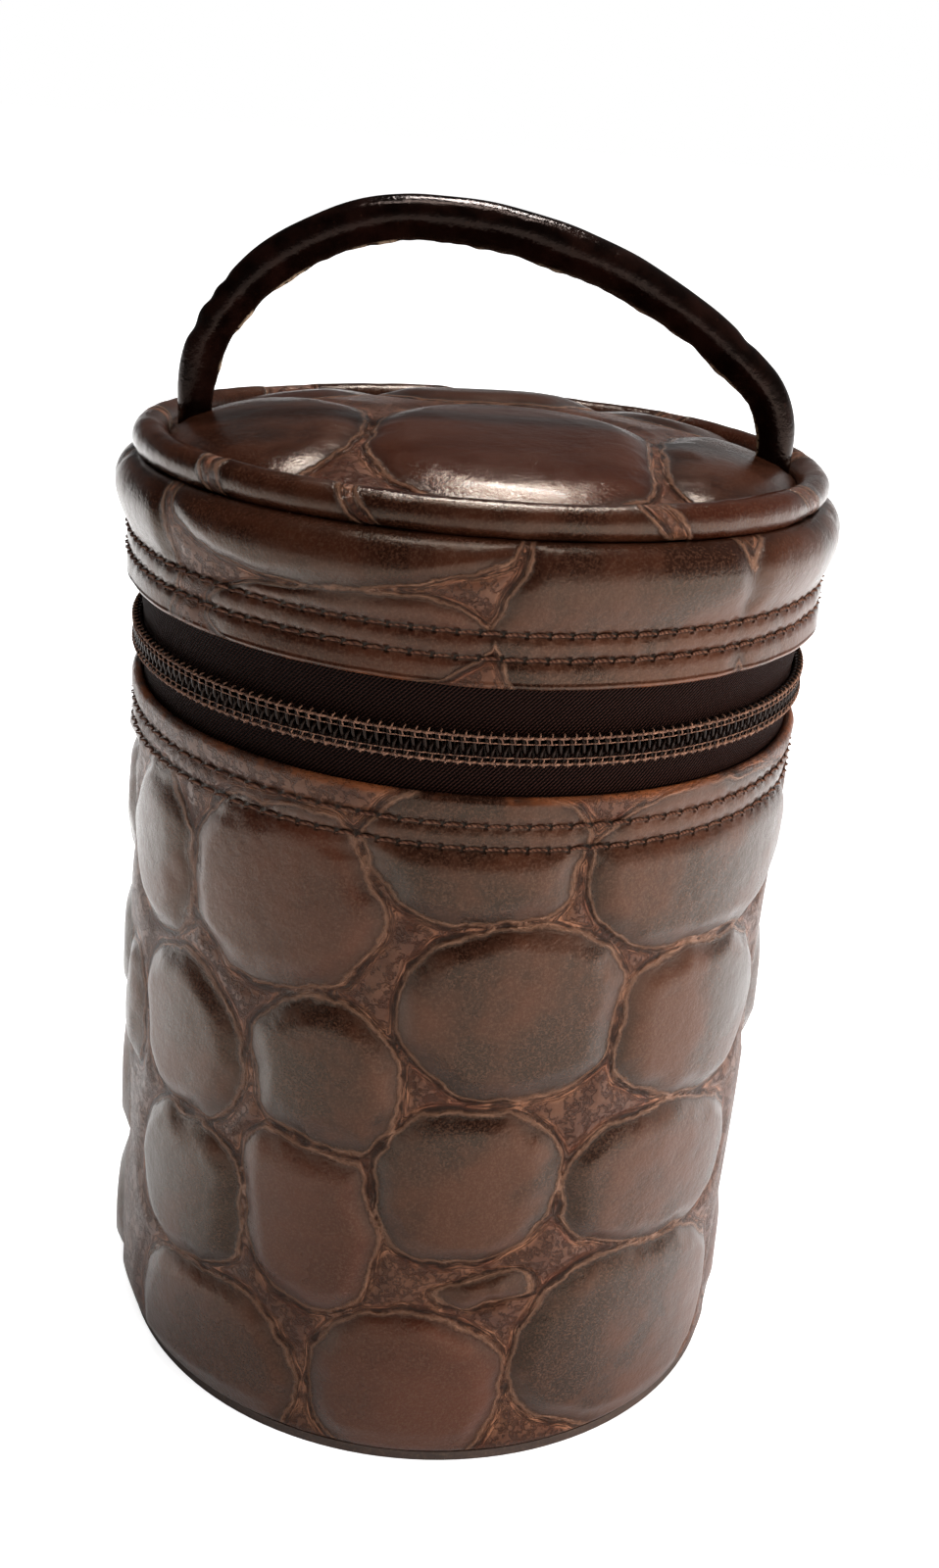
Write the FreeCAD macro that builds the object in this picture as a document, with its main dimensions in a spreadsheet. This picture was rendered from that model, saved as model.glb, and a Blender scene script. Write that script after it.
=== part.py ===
import FreeCAD, Part
import os
import Sketcher

# Leather dice cup with a zipped, hinged lid and a rolled carrying handle.
# Frame: millimetres, +Z up, origin at the middle of the underside of the sole.
# The hinge panel is at the back (+Y), the zip opens at the front (-Y), and the
# handle arches from left to right (along X).

SIZES = {
    # cup wall, from the outside in
    "cup_radius": 42.0,
    "cup_height": 90.5,
    "leather_thick": 1.4,
    "board_thick": 1.2,
    "lining_thick": 0.8,
    # base
    "sole_thick": 1.3,
    "sole_inset": 0.4,
    "base_board_thick": 2.0,
    "felt_thick": 1.0,
    # stitching
    "thread_thick": 0.5,
    "groove_deep": 0.3,
    "first_row": 3.3,
    "second_row": 6.0,
    # zip
    "zip_above_rim": 5.5,
    "tape_slot": 1.6,
    "tape_width": 12.6,
    "tape_thick": 0.5,
    "coil_width": 1.4,
    "coil_thick": 1.2,
    "tape_end_angle": 33.0,
    "lower_coil_end_angle": 38.0,
    "upper_coil_end_angle": 54.0,
    # hinge at the back
    "panel_half_angle": 36.0,
    "panel_clearance": 0.2,
    "gusset_inset_angle": 0.5,
    # slider and pull
    "slider_angle": 46.0,
    "slider_arc": 11.5,
    "slider_width": 5.8,
    "slider_thick": 0.9,
    "slider_clearance": 0.3,
    "flange_thick": 0.6,
    "bridge_arc": 3.5,
    "lug_out": 2.2,
    "lug_thick": 0.7,
    "lug_gap": 3.0,
    "pin_radius": 0.45,
    "pin_clearance": 0.1,
    "pull_length": 14.0,
    "pull_width": 4.4,
    "pull_thick": 1.0,
    # lid
    "skirt_above_rim": 12.5,
    "skirt_flare": 0.8,
    "skirt_height": 15.6,
    "skirt_straight": 7.2,
    "skirt_bulge": 1.0,
    "skirt_tuck": 1.4,
    "wadding_clearance": 0.2,
    "lid_board_thick": 1.4,
    "lid_board_inset": 0.9,
    "flange_width": 4.9,
    "edge_setback": 0.6,
    "piping_radius": 2.0,
    "piping_cord_radius": 1.2,
    "piping_clearance": 0.1,
    "dome_rise": 5.2,
    "dome_leather": 1.2,
    "dome_edge": 1.3,
    "dome_fullness": 0.75,
    # handle
    "handle_radius": 2.35,
    "handle_core_radius": 1.5,
    "root_clearance": 0.25,
    "handle_pivot_rise": 4.6,
    "handle_clearance": 0.3,
    "apex_offset": -8.0,
    "apex_rise": 23.0,
    "left_shoulder": 18.0,
    "right_shoulder": 10.0,
}

doc = FreeCAD.newDocument("dice_cup")
dim = doc.addObject("Spreadsheet::Sheet", "Dim")
for row, (name, value) in enumerate(SIZES.items(), start=1):
    dim.set(f"A{row}", name)
    dim.set(f"B{row}", str(value))
    dim.setAlias(f"B{row}", name)
doc.recompute()

UP = FreeCAD.Vector(0, 0, 1)
ORIGIN = FreeCAD.Vector(0, 0, 0)
PARTS = []


def value(expression):
    """The number that an expression in sheet cells has now."""
    return float(dim.evalExpression(expression))


def place_point(sketch, geo, pos, radius, height):
    """Fix one sketch point at a radius and a height given as expressions."""
    for kind, expression in (("DistanceX", radius), ("DistanceY", height)):
        number = value(expression)
        if abs(number) < 1e-9:
            axis = -2 if kind == "DistanceX" else -1
            sketch.addConstraint(Sketcher.Constraint("PointOnObject", geo, pos, axis))
            continue
        rule = Sketcher.Constraint(kind, -1, 1, geo, pos, number)
        index = sketch.addConstraint(rule)
        sketch.setExpression(f"Constraints[{index}]", expression)


def draw_profile(sketch, outline):
    """Closed outline of (radius, height) corners; a corner with four values is
    reached by an arc through its last two values."""
    corners = [FreeCAD.Vector(value(c[0]), value(c[1]), 0) for c in outline]
    edges = []
    for i, corner in enumerate(corners):
        before = corners[i - 1]
        if len(outline[i]) == 2:
            geo = sketch.addGeometry(Part.LineSegment(before, corner), False)
            edges.append((geo, 1, 2))
            continue
        through = FreeCAD.Vector(value(outline[i][2]), value(outline[i][3]), 0)
        geo = sketch.addGeometry(Part.Arc(before, through, corner), False)
        start = sketch.getPoint(geo, 1)
        forward = start.distanceToPoint(before) < start.distanceToPoint(corner)
        edges.append((geo, 1, 2) if forward else (geo, 2, 1))
        point = sketch.addGeometry(Part.Point(through), True)
        place_point(sketch, point, 1, outline[i][2], outline[i][3])
        sketch.addConstraint(Sketcher.Constraint("PointOnObject", point, 1, geo))
    for i, (geo, first, last) in enumerate(edges):
        ahead = edges[(i + 1) % len(edges)]
        sketch.addConstraint(Sketcher.Constraint("Coincident", geo, last, ahead[0], ahead[1]))
        place_point(sketch, geo, last, outline[i][0], outline[i][1])


def add_turned(body, outline, angle=None):
    """Revolution of an outline about Z, drawn in the YZ plane (towards +Y)."""
    sketch = body.newObject("Sketcher::SketchObject", "Profile")
    plane = next(f for f in body.Origin.OriginFeatures if f.Role == "YZ_Plane")
    sketch.AttachmentSupport = [(plane, "")]
    sketch.MapMode = "FlatFace"
    draw_profile(sketch, outline)
    turned = body.newObject("PartDesign::Revolution", "Turned")
    turned.Profile = sketch
    turned.ReferenceAxis = (sketch, ["V_Axis"])
    turned.Angle = 360
    if angle is not None:
        turned.Midplane = True
        turned.setExpression("Angle", angle)
    sketch.Visibility = False
    return turned


def keep(thing, label):
    """Name an object as one of the sub-parts that are written out."""
    thing.Label = label
    PARTS.append(thing)
    return thing


def turned_part(label, outline, angle=None, front=False):
    """A sub-part turned about Z; a part turn is centred on the back or front."""
    body = doc.addObject("PartDesign::Body", label + "_body")
    add_turned(body, outline, angle)
    if front:
        body.Placement = FreeCAD.Placement(ORIGIN, FreeCAD.Rotation(UP, 180))
    return body


def ring(inner, outer, low, high):
    """Outline of a plain ring."""
    return [(inner, low), (outer, low), (outer, high), (inner, high)]


def disc(radius, low, high):
    """Outline of a plain disc."""
    return ring("0", radius, low, high)


def groove(radius, height):
    """Corners of one stitch groove in an outer face, from below upwards."""
    floor = f"{radius} - Dim.groove_deep"
    low = f"{height} - Dim.thread_thick / 2"
    high = f"{height} + Dim.thread_thick / 2"
    return [(radius, low), (floor, low), (floor, high), (radius, high)]


def thread(radius, height):
    """Outline of the thread that lies in a stitch groove."""
    floor = f"{radius} - Dim.groove_deep"
    low = f"{height} - Dim.thread_thick / 2"
    high = f"{height} + Dim.thread_thick / 2"
    return ring(floor, f"{floor} + Dim.thread_thick", low, high)


# Radii and heights that the pieces share, from the outside in and from the
# bottom up.
wall_out = "Dim.cup_radius"
wall_in = f"({wall_out} - Dim.leather_thick)"
tape_in = f"({wall_in} - Dim.tape_thick)"
board_in = f"({wall_in} - Dim.board_thick)"
lining_in = f"({board_in} - Dim.lining_thick)"
rim = "Dim.cup_height"
floor_low = "Dim.sole_thick"
floor_mid = f"({floor_low} + Dim.base_board_thick)"
floor_top = f"({floor_mid} + Dim.felt_thick)"
cup_row_high = f"({rim} - Dim.first_row)"
cup_row_low = f"({rim} - Dim.second_row)"
zip_mid = f"({rim} + Dim.zip_above_rim)"
lower_edge = f"({zip_mid} - Dim.tape_slot / 2)"
upper_edge = f"({zip_mid} + Dim.tape_slot / 2)"
lower_tape_end = f"({lower_edge} - Dim.tape_width)"
upper_tape_end = f"({upper_edge} + Dim.tape_width)"

# Lid radii and heights.
skirt_out = f"({wall_out} + Dim.skirt_flare)"
skirt_in = f"({skirt_out} - Dim.leather_thick)"
lid_tape_in = f"({skirt_in} - Dim.tape_thick)"
lid_board_in = f"({lid_tape_in} - Dim.board_thick)"
lid_lining_in = f"({lid_board_in} - Dim.lining_thick)"
skirt_low = f"({rim} + Dim.skirt_above_rim)"
skirt_bend = f"({skirt_low} + Dim.skirt_straight)"
skirt_top = f"({skirt_low} + Dim.skirt_height)"
lid_row_low = f"({skirt_low} + Dim.first_row)"
lid_row_high = f"({skirt_low} + Dim.second_row)"
flange_top = f"({skirt_top} - Dim.edge_setback / 2)"
flange_low = f"({flange_top} - Dim.leather_thick)"
lid_board_low = f"({flange_low} - Dim.lid_board_thick)"
lid_board_out = f"({lid_tape_in} - Dim.lid_board_inset)"
lid_lining_low = f"({lid_board_low} - Dim.lining_thick)"
piping_mid = f"({wall_out} - Dim.piping_radius)"
piping_level = f"({flange_top} + Dim.piping_clearance + Dim.piping_radius)"
dome_out = f"({piping_mid} - Dim.piping_radius)"
dome_low = f"({flange_top} + Dim.dome_edge)"
dome_top = f"({dome_low} + Dim.dome_rise)"
pivot_level = f"({flange_top} + Dim.handle_pivot_rise)"
half_span = f"({dome_out} - Dim.handle_radius - Dim.root_clearance)"


def cup_pieces():
    """Leather wrap, board, lining, base and the two rows of stitches."""
    leather = [(wall_in, floor_low), (wall_out, floor_low)]
    leather += groove(wall_out, cup_row_low) + groove(wall_out, cup_row_high)
    leather += [(wall_out, rim), (wall_in, rim)]
    keep(turned_part("cup_leather", leather), "cup_leather")

    # The board is full thickness up to the zip tape and thinner behind it.
    hem = f"{rim} - Dim.lining_thick"
    board = [(board_in, floor_mid), (wall_in, floor_mid), (wall_in, lower_tape_end),
             (tape_in, lower_tape_end), (tape_in, hem), (board_in, hem)]
    keep(turned_part("cup_stiffener", board), "cup_stiffener")
    lining = ring(lining_in, board_in, floor_mid, hem)
    keep(turned_part("cup_lining", lining), "cup_lining")

    sole = disc(f"{wall_out} - Dim.sole_inset", "0", floor_low)
    keep(turned_part("base_sole", sole), "base_sole")
    keep(turned_part("base_board", disc(wall_in, floor_low, floor_mid)), "base_board")
    keep(turned_part("base_felt", disc(lining_in, floor_mid, floor_top)), "base_felt")

    for label, level in (("cup_stitch_upper", cup_row_high), ("cup_stitch_lower", cup_row_low)):
        keep(turned_part(label, thread(wall_out, level)), label)


def zip_pieces():
    """Both tapes with their coils, open at the back where the hinge panel is."""
    tape_arc = "360 - 2 * Dim.tape_end_angle"
    lower_coil_arc = "360 - 2 * Dim.lower_coil_end_angle"
    upper_coil_arc = "360 - 2 * Dim.upper_coil_end_angle"
    coil_out = f"{wall_in} + Dim.coil_thick"

    lower = ring(tape_in, wall_in, lower_tape_end, lower_edge)
    keep(turned_part("zip_tape_lower", lower, tape_arc, True), "zip_tape_lower")
    coil = ring(wall_in, coil_out, f"{lower_edge} - Dim.coil_width", lower_edge)
    keep(turned_part("zip_coil_lower", coil, lower_coil_arc, True), "zip_coil_lower")

    # The upper tape leans out from the coil to the inside of the wider lid.
    coil_top = f"{upper_edge} + Dim.coil_width"
    upper = [(tape_in, upper_edge), (wall_in, upper_edge), (wall_in, coil_top),
             (skirt_in, skirt_low), (skirt_in, upper_tape_end),
             (lid_tape_in, upper_tape_end), (lid_tape_in, skirt_low), (tape_in, coil_top)]
    keep(turned_part("zip_tape_upper", upper, tape_arc, True), "zip_tape_upper")
    coil = ring(wall_in, coil_out, upper_edge, coil_top)
    keep(turned_part("zip_coil_upper", coil, upper_coil_arc, True), "zip_coil_upper")


def hinge_pieces():
    """Leather panel between cup and lid at the back, on a fabric gusset."""
    foot = f"{rim} + Dim.panel_clearance"
    head = f"{skirt_low} - Dim.panel_clearance"
    panel_arc = "2 * Dim.panel_half_angle"
    panel = [(f"{wall_in} + Dim.panel_clearance", foot), (wall_out, foot),
             (skirt_out, head), (f"{skirt_in} + Dim.panel_clearance", head)]
    keep(turned_part("hinge_panel", panel, panel_arc), "hinge_panel")
    gusset_arc = "2 * (Dim.tape_end_angle - Dim.gusset_inset_angle)"
    gusset_out = f"{skirt_in} - Dim.panel_clearance"
    gusset = [(tape_in, lower_tape_end), (wall_in, lower_tape_end), (wall_in, foot),
              (gusset_out, head), (gusset_out, upper_tape_end),
              (lid_tape_in, upper_tape_end), (lid_tape_in, head), (tape_in, foot)]
    keep(turned_part("hinge_gusset", gusset, gusset_arc), "hinge_gusset")


def anchor_posts(name, radius, low, high):
    """Two upright round posts at the handle roots, as one object."""
    posts = []
    for side in (-1, 1):
        post = doc.addObject("Part::Cylinder", name + "_post")
        post.setExpression("Radius", radius)
        post.setExpression("Height", f"{high} - {low}")
        post.setExpression("Placement.Base.x", f"{side} * {half_span}")
        post.setExpression("Placement.Base.z", low)
        posts.append(post)
    pair = doc.addObject("Part::Compound", name)
    pair.Links = posts
    return pair


def with_root_holes(label, body, holes):
    """A lid piece with the two holes that the handle roots go through."""
    cut = doc.addObject("Part::Cut", label + "_cut")
    cut.Base = body
    cut.Tool = holes
    return keep(cut, label)


def lid_pieces():
    """Skirt, wadding, boards, linings, padded top, piping and handle roots."""
    hole_radius = "Dim.handle_radius + Dim.piping_clearance"
    holes = anchor_posts("root_holes", hole_radius, flange_low, f"{dome_top} + Dim.dome_rise")

    # The skirt is straight where it is stitched, swells above and turns in at
    # the top as a flange that the piping and the padded top are sewn to.
    middle = f"({skirt_bend} + {skirt_top}) / 2"
    skirt = [(skirt_in, skirt_low), (skirt_out, skirt_low)]
    skirt += groove(skirt_out, lid_row_low) + groove(skirt_out, lid_row_high)
    skirt += [(skirt_out, skirt_bend),
              (f"{skirt_out} - Dim.skirt_tuck", skirt_top,
               f"{skirt_out} + Dim.skirt_bulge", middle),
              (f"{piping_mid} + Dim.edge_setback", flange_top),
              (f"{wall_out} - Dim.flange_width - Dim.edge_setback", flange_top),
              (f"{wall_out} - Dim.flange_width - Dim.edge_setback", flange_low),
              (f"{skirt_in} - Dim.skirt_tuck", flange_low),
              (skirt_in, skirt_bend,
               f"{skirt_in} + Dim.skirt_bulge - Dim.wadding_clearance", middle)]
    with_root_holes("lid_skirt_leather", turned_part("lid_skirt", skirt), holes)

    wad_low = f"({skirt_bend} + Dim.wadding_clearance)"
    wad_high = f"({lid_board_low} - Dim.wadding_clearance)"
    wad_in = f"({lid_tape_in} + Dim.wadding_clearance / 2)"
    wadding = [(wad_in, wad_low), (f"{skirt_in} - Dim.wadding_clearance", wad_low),
               (f"{wad_in} + Dim.wadding_clearance", wad_high,
                f"{skirt_in} + Dim.skirt_bulge - 3 * Dim.wadding_clearance", middle),
               (wad_in, wad_high)]
    keep(turned_part("lid_wadding", wadding), "lid_wadding")

    hem = f"{skirt_low} + Dim.lining_thick"
    keep(turned_part("lid_stiffener", ring(lid_board_in, lid_tape_in, hem, lid_board_low)),
         "lid_stiffener")
    keep(turned_part("lid_lining", ring(lid_lining_in, lid_board_in, hem, lid_lining_low)),
         "lid_lining")
    keep(turned_part("lid_board", disc(lid_board_out, lid_board_low, flange_low)), "lid_board")
    keep(turned_part("lid_top_lining", disc(lid_board_in, lid_lining_low, lid_board_low)),
         "lid_top_lining")

    # Padded top: a shallow dome of foam under leather, standing on the flange.
    dome_in = f"({dome_out} - Dim.dome_leather)"
    dome_in_top = f"({dome_top} - Dim.dome_leather)"
    shoulder = f"{dome_low} + Dim.dome_fullness * Dim.dome_rise"
    shoulder_in = f"{dome_low} + Dim.dome_fullness * ({dome_in_top} - {dome_low})"
    leather = [("0", dome_in_top), (dome_in, dome_low, f"{dome_in} / 2", shoulder_in),
               (dome_in, flange_top), (dome_out, flange_top), (dome_out, dome_low),
               ("0", dome_top, f"{dome_out} / 2", shoulder)]
    with_root_holes("lid_top_leather", turned_part("lid_dome", leather), holes)
    foam_out = f"({wall_out} - Dim.flange_width - Dim.edge_setback - Dim.piping_clearance)"
    foam_in = f"({dome_in} - Dim.piping_clearance)"
    foam_top = f"({dome_in_top} - Dim.piping_clearance)"
    foam_shoulder = f"{dome_low} + Dim.dome_fullness * ({foam_top} - {dome_low})"
    foam = [("0", flange_low), (foam_out, flange_low), (foam_out, flange_top),
            (foam_in, flange_top), (foam_in, f"{dome_low} - Dim.piping_clearance"),
            ("0", foam_top, f"{foam_in} / 2",
             f"{foam_shoulder} - Dim.piping_clearance")]
    with_root_holes("lid_padding", turned_part("lid_foam", foam), holes)

    piping = []
    for name, tube in (("piping_skin", "Dim.piping_radius"), ("piping_hole", "Dim.piping_cord_radius"),
                       ("piping_core", "Dim.piping_cord_radius")):
        torus = doc.addObject("Part::Torus", name)
        torus.setExpression("Radius1", piping_mid)
        torus.setExpression("Radius2", tube)
        torus.setExpression("Placement.Base.z", piping_level)
        piping.append(torus)
    cover = doc.addObject("Part::Cut", "piping_cover")
    cover.Base, cover.Tool = piping[0], piping[1]
    keep(cover, "lid_piping_leather")
    keep(piping[2], "lid_piping_cord")

    for label, level in (("lid_stitch_lower", lid_row_low), ("lid_stitch_upper", lid_row_high)):
        keep(turned_part(label, thread(skirt_out, level)), label)

    root_top = f"({pivot_level} - Dim.handle_radius - Dim.handle_clearance)"
    keep(anchor_posts("roots", "Dim.handle_radius", flange_low, root_top), "handle_roots")


def shoulder_and_crown(root, apex, radius):
    """Initial arcs from an upright root round a shoulder to a level apex."""
    side = 1 if root.x < apex.x else -1
    run = (apex.x - root.x) * side - radius
    rise = apex.y - root.y
    crown = (run ** 2 + rise ** 2 - radius ** 2) / (2 * (rise - radius))
    near = root + FreeCAD.Vector(side * radius, 0, 0)
    far = apex - FreeCAD.Vector(0, crown, 0)
    spoke = (near - far).normalize()
    meet = near + spoke * radius
    low = near + (spoke + FreeCAD.Vector(-side, 0, 0)).normalize() * radius
    high = far + (spoke + FreeCAD.Vector(0, 1, 0)).normalize() * crown
    return Part.Arc(root, low, meet), Part.Arc(meet, high, apex)


def handle_path():
    """Four tangent arcs in the XZ plane: each side rises upright from its root,
    turns over a shoulder of its own radius and runs level into the apex."""
    path = doc.addObject("Sketcher::SketchObject", "handle_path")
    path.Placement = FreeCAD.Placement(ORIGIN, FreeCAD.Rotation(FreeCAD.Vector(1, 0, 0), 90))
    top = ("Dim.apex_offset", f"{pivot_level} + Dim.apex_rise")
    apex = FreeCAD.Vector(value(top[0]), value(top[1]), 0)
    for sign, shoulder in (("-", "Dim.left_shoulder"), ("+", "Dim.right_shoulder")):
        foot = (f"{sign}{half_span}", pivot_level)
        root = FreeCAD.Vector(value(foot[0]), value(foot[1]), 0)
        arcs = shoulder_and_crown(root, apex, value(shoulder))
        low, high = (path.addGeometry(arc, False) for arc in arcs)
        # Arcs run anticlockwise, so a left one starts at its upper end.
        upper, lower = (1, 2) if sign == "-" else (2, 1)
        place_point(path, low, lower, *foot)
        path.addConstraint(Sketcher.Constraint("Horizontal", low, lower, low, 3))
        rule = path.addConstraint(Sketcher.Constraint("Radius", low, value(shoulder)))
        path.setExpression(f"Constraints[{rule}]", shoulder)
        path.addConstraint(Sketcher.Constraint("Tangent", low, upper, high, lower))
        place_point(path, high, upper, *top)
        path.addConstraint(Sketcher.Constraint("Vertical", high, upper, high, 3))
    return path


def sweep_along(path, name, radius):
    """A round bar of a given radius along the handle's line."""
    section = doc.addObject("Part::Circle", name + "_section")
    section.setExpression("Radius", radius)
    section.setExpression("Placement.Base.x", f"-{half_span}")
    section.setExpression("Placement.Base.z", pivot_level)
    bar = doc.addObject("Part::Sweep", name)
    bar.Sections = [section]
    bar.Spine = (path, [f"Edge{i}" for i in range(1, 5)])
    bar.Solid = True
    bar.Frenet = True
    return bar


def handle_pieces():
    """Rolled leather strap around a cord; its round ends turn on the roots."""
    path = handle_path()
    skin = sweep_along(path, "handle_skin", "Dim.handle_radius")
    core = sweep_along(path, "handle_bar", "Dim.handle_core_radius")
    ends = []
    for side in (-1, 1):
        ball = doc.addObject("Part::Sphere", "handle_end")
        ball.setExpression("Radius", "Dim.handle_radius")
        ball.setExpression("Placement.Base.x", f"{side} * {half_span}")
        ball.setExpression("Placement.Base.z", pivot_level)
        ends.append(ball)
    whole = doc.addObject("Part::MultiFuse", "handle_whole")
    whole.Shapes = [skin] + ends
    strap = doc.addObject("Part::Cut", "handle_strap")
    strap.Base, strap.Tool = whole, core
    keep(strap, "handle_leather")
    keep(core, "handle_core")


def at_slider(body):
    """Turn a piece drawn at the back round to where the closed slider rests."""
    down = FreeCAD.Vector(0, 0, -1)
    body.Placement = FreeCAD.Placement(ORIGIN, FreeCAD.Rotation(down, value("Dim.slider_angle")))
    body.setExpression("Placement.Rotation.Angle", "Dim.slider_angle")
    return body


def slider_pieces():
    """Slider of two curved plates joined by a bridge, with lugs for the pull."""
    coil_out = f"({wall_in} + Dim.coil_thick)"
    plate_in = f"({coil_out} + Dim.slider_clearance)"
    plate_out = f"({plate_in} + Dim.slider_thick)"
    back_out = f"({tape_in} - Dim.slider_clearance)"
    back_in = f"({back_out} - Dim.slider_thick)"
    low = f"({zip_mid} - Dim.slider_width / 2)"
    high = f"({zip_mid} + Dim.slider_width / 2)"
    lip = f"({plate_in} - Dim.slider_clearance)"
    half_slot = "(Dim.tape_slot / 2 - Dim.slider_clearance)"

    body = doc.addObject("PartDesign::Body", "slider")
    bridge = ring(back_out, plate_in, f"{zip_mid} - {half_slot}", f"{zip_mid} + {half_slot}")
    add_turned(body, bridge, "Dim.bridge_arc")
    front = [(plate_in, f"{low} + Dim.flange_thick"), (lip, f"{low} + Dim.flange_thick"),
             (lip, low), (plate_out, low), (plate_out, high), (lip, high),
             (lip, f"{high} - Dim.flange_thick"), (plate_in, f"{high} - Dim.flange_thick")]
    add_turned(body, front, "Dim.slider_arc")
    add_turned(body, ring(back_in, back_out, low, high), "Dim.slider_arc")

    # Two lugs stand out from the front plate and hold the pin of the pull.
    lug_out = f"({plate_out} + Dim.lug_out)"
    pin_at = f"({lug_out} - Dim.lug_out / 2)"
    lug_arc = "Dim.lug_out / Dim.cup_radius * 180 / pi"
    for sign in ("-", "+"):
        near = f"{zip_mid} {sign} Dim.lug_gap / 2"
        far = f"{zip_mid} {sign} (Dim.lug_gap / 2 + Dim.lug_thick)"
        add_turned(body, ring(plate_out, lug_out, near, far), lug_arc)
    pin = doc.addObject("Part::Cylinder", "pull_pin")
    pin.setExpression("Radius", "Dim.pin_radius")
    pin.setExpression("Height", "Dim.lug_gap")
    pin.setExpression("Placement.Base.y", pin_at)
    pin.setExpression("Placement.Base.z", f"{zip_mid} - Dim.lug_gap / 2")
    whole = doc.addObject("Part::MultiFuse", "slider_whole")
    whole.Shapes = [body, pin]
    keep(at_slider(whole), "slider_body")

    # The pull is a flat tab with an eye round the pin, lying along the zip.
    eye_radius = "(Dim.lug_out / 2 - Dim.pin_clearance)"
    eye_high = "(Dim.lug_gap - 2 * Dim.slider_clearance)"
    eye = doc.addObject("Part::Cylinder", "pull_eye")
    eye.setExpression("Radius", eye_radius)
    eye.setExpression("Height", eye_high)
    eye.setExpression("Placement.Base.y", pin_at)
    eye.setExpression("Placement.Base.z", f"{zip_mid} - {eye_high} / 2")
    neck = doc.addObject("Part::Box", "pull_neck")
    tab = doc.addObject("Part::Box", "pull_plate")
    for box, length, start, width in ((neck, "Dim.lug_out", "0", eye_high),
                                      (tab, "Dim.pull_length - Dim.lug_out",
                                       "Dim.lug_out", "Dim.pull_width")):
        box.setExpression("Length", length)
        box.setExpression("Width", "Dim.pull_thick")
        box.setExpression("Height", width)
        box.setExpression("Placement.Base.x", f"-({start}) - ({length})")
        box.setExpression("Placement.Base.y", f"{pin_at} - Dim.pull_thick / 2")
        box.setExpression("Placement.Base.z", f"{zip_mid} - {width} / 2")
    hole = doc.addObject("Part::Cylinder", "pull_hole")
    hole.setExpression("Radius", "Dim.pin_radius + Dim.pin_clearance")
    hole.setExpression("Height", "Dim.lug_gap")
    hole.setExpression("Placement.Base.y", pin_at)
    hole.setExpression("Placement.Base.z", f"{zip_mid} - Dim.lug_gap / 2")
    solid = doc.addObject("Part::MultiFuse", "pull_solid")
    solid.Shapes = [eye, neck, tab]
    pull = doc.addObject("Part::Cut", "pull")
    pull.Base, pull.Tool = solid, hole
    keep(at_slider(pull), "pull_tab")


def check_and_write():
    """Stop on any failed object, then write each sub-part to its own file."""
    doc.recompute()
    for thing in doc.Objects:
        if {"Invalid", "Error"} & set(thing.State):
            raise RuntimeError(f"{thing.Label} failed: {thing.State}")
    os.makedirs("parts", exist_ok=True)
    for thing in PARTS:
        shape = thing.Shape
        if shape.isNull() or not shape.isValid() or not shape.Solids:
            raise RuntimeError(f"{thing.Label} has no valid solid")
        shape.exportStep(f"parts/{thing.Label}.step")
        print(f"{thing.Label}: {len(shape.Solids)} solid(s), {shape.Volume:.1f} mm3")


cup_pieces()
zip_pieces()
hinge_pieces()
lid_pieces()
handle_pieces()
slider_pieces()
check_and_write()
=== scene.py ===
import math
import random

import bpy
import numpy as np
from mathutils import Matrix, Vector, noise


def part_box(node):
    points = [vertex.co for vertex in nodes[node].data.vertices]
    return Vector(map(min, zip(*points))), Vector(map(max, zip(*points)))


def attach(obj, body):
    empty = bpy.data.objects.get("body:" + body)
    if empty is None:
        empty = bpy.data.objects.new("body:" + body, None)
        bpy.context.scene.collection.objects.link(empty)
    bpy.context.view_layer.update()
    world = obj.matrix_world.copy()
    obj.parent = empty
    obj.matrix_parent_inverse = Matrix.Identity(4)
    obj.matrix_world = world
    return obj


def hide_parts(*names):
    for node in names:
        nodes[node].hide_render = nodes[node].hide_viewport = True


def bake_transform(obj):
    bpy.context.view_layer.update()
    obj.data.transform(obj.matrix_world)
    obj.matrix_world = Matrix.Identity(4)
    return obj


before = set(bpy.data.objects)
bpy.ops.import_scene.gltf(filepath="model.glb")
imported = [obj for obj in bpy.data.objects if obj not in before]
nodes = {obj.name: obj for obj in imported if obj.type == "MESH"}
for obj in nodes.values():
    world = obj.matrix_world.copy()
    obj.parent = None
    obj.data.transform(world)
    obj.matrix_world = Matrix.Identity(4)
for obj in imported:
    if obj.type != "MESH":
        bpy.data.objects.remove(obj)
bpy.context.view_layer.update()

# --- Cup leather: one piece of cow hide pressed with a large crocodile grain,
# wrapped round a board tube, turned over at the rim and sewn through twice.
# Every scale is (degrees from the front, height, half width, half height,
# lean in degrees), in millimetres, from the rim down.
MM = 0.001
wall_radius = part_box("base_board")[1].x / MM + 1.4
foot_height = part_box("cup_leather")[0].z / MM
rim_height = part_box("cup_leather")[1].z / MM
leather_thick = 1.4
STITCHES = 112
row_heights = [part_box(n)[0].z / MM + 0.25 for n in ("cup_stitch_lower", "cup_stitch_upper")]

CUP_SCALES = [
    (-57.5, 73.0, 9.6, 10.4, 8), (-28, 74.4, 13.6, 11.6, 4), (4.5, 82.6, 12.6, 8.4, 0),
    (49, 79.2, 20.0, 10.2, -4),
    (-69, 47.5, 5.2, 9.2, 0), (-47, 51.2, 10.6, 11.4, 14), (-18, 52.8, 9.9, 11.2, 14),
    (12.5, 64.0, 14.3, 11.8, 0), (50, 59.0, 15.6, 11.4, -16),
    (-46, 30.2, 11.2, 10.8, 12), (-19.5, 33.2, 9.6, 13.4, 10), (7, 40.4, 11.9, 11.2, 0),
    (45, 37.6, 17.4, 10.2, -12), (12, 25.6, 7.2, 2.3, 8),
    (-40, 8.0, 14.2, 12.4, 4), (-1, 10.6, 13.2, 12.0, 0), (42.5, 14.4, 19.2, 14.2, -10),
]


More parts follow.
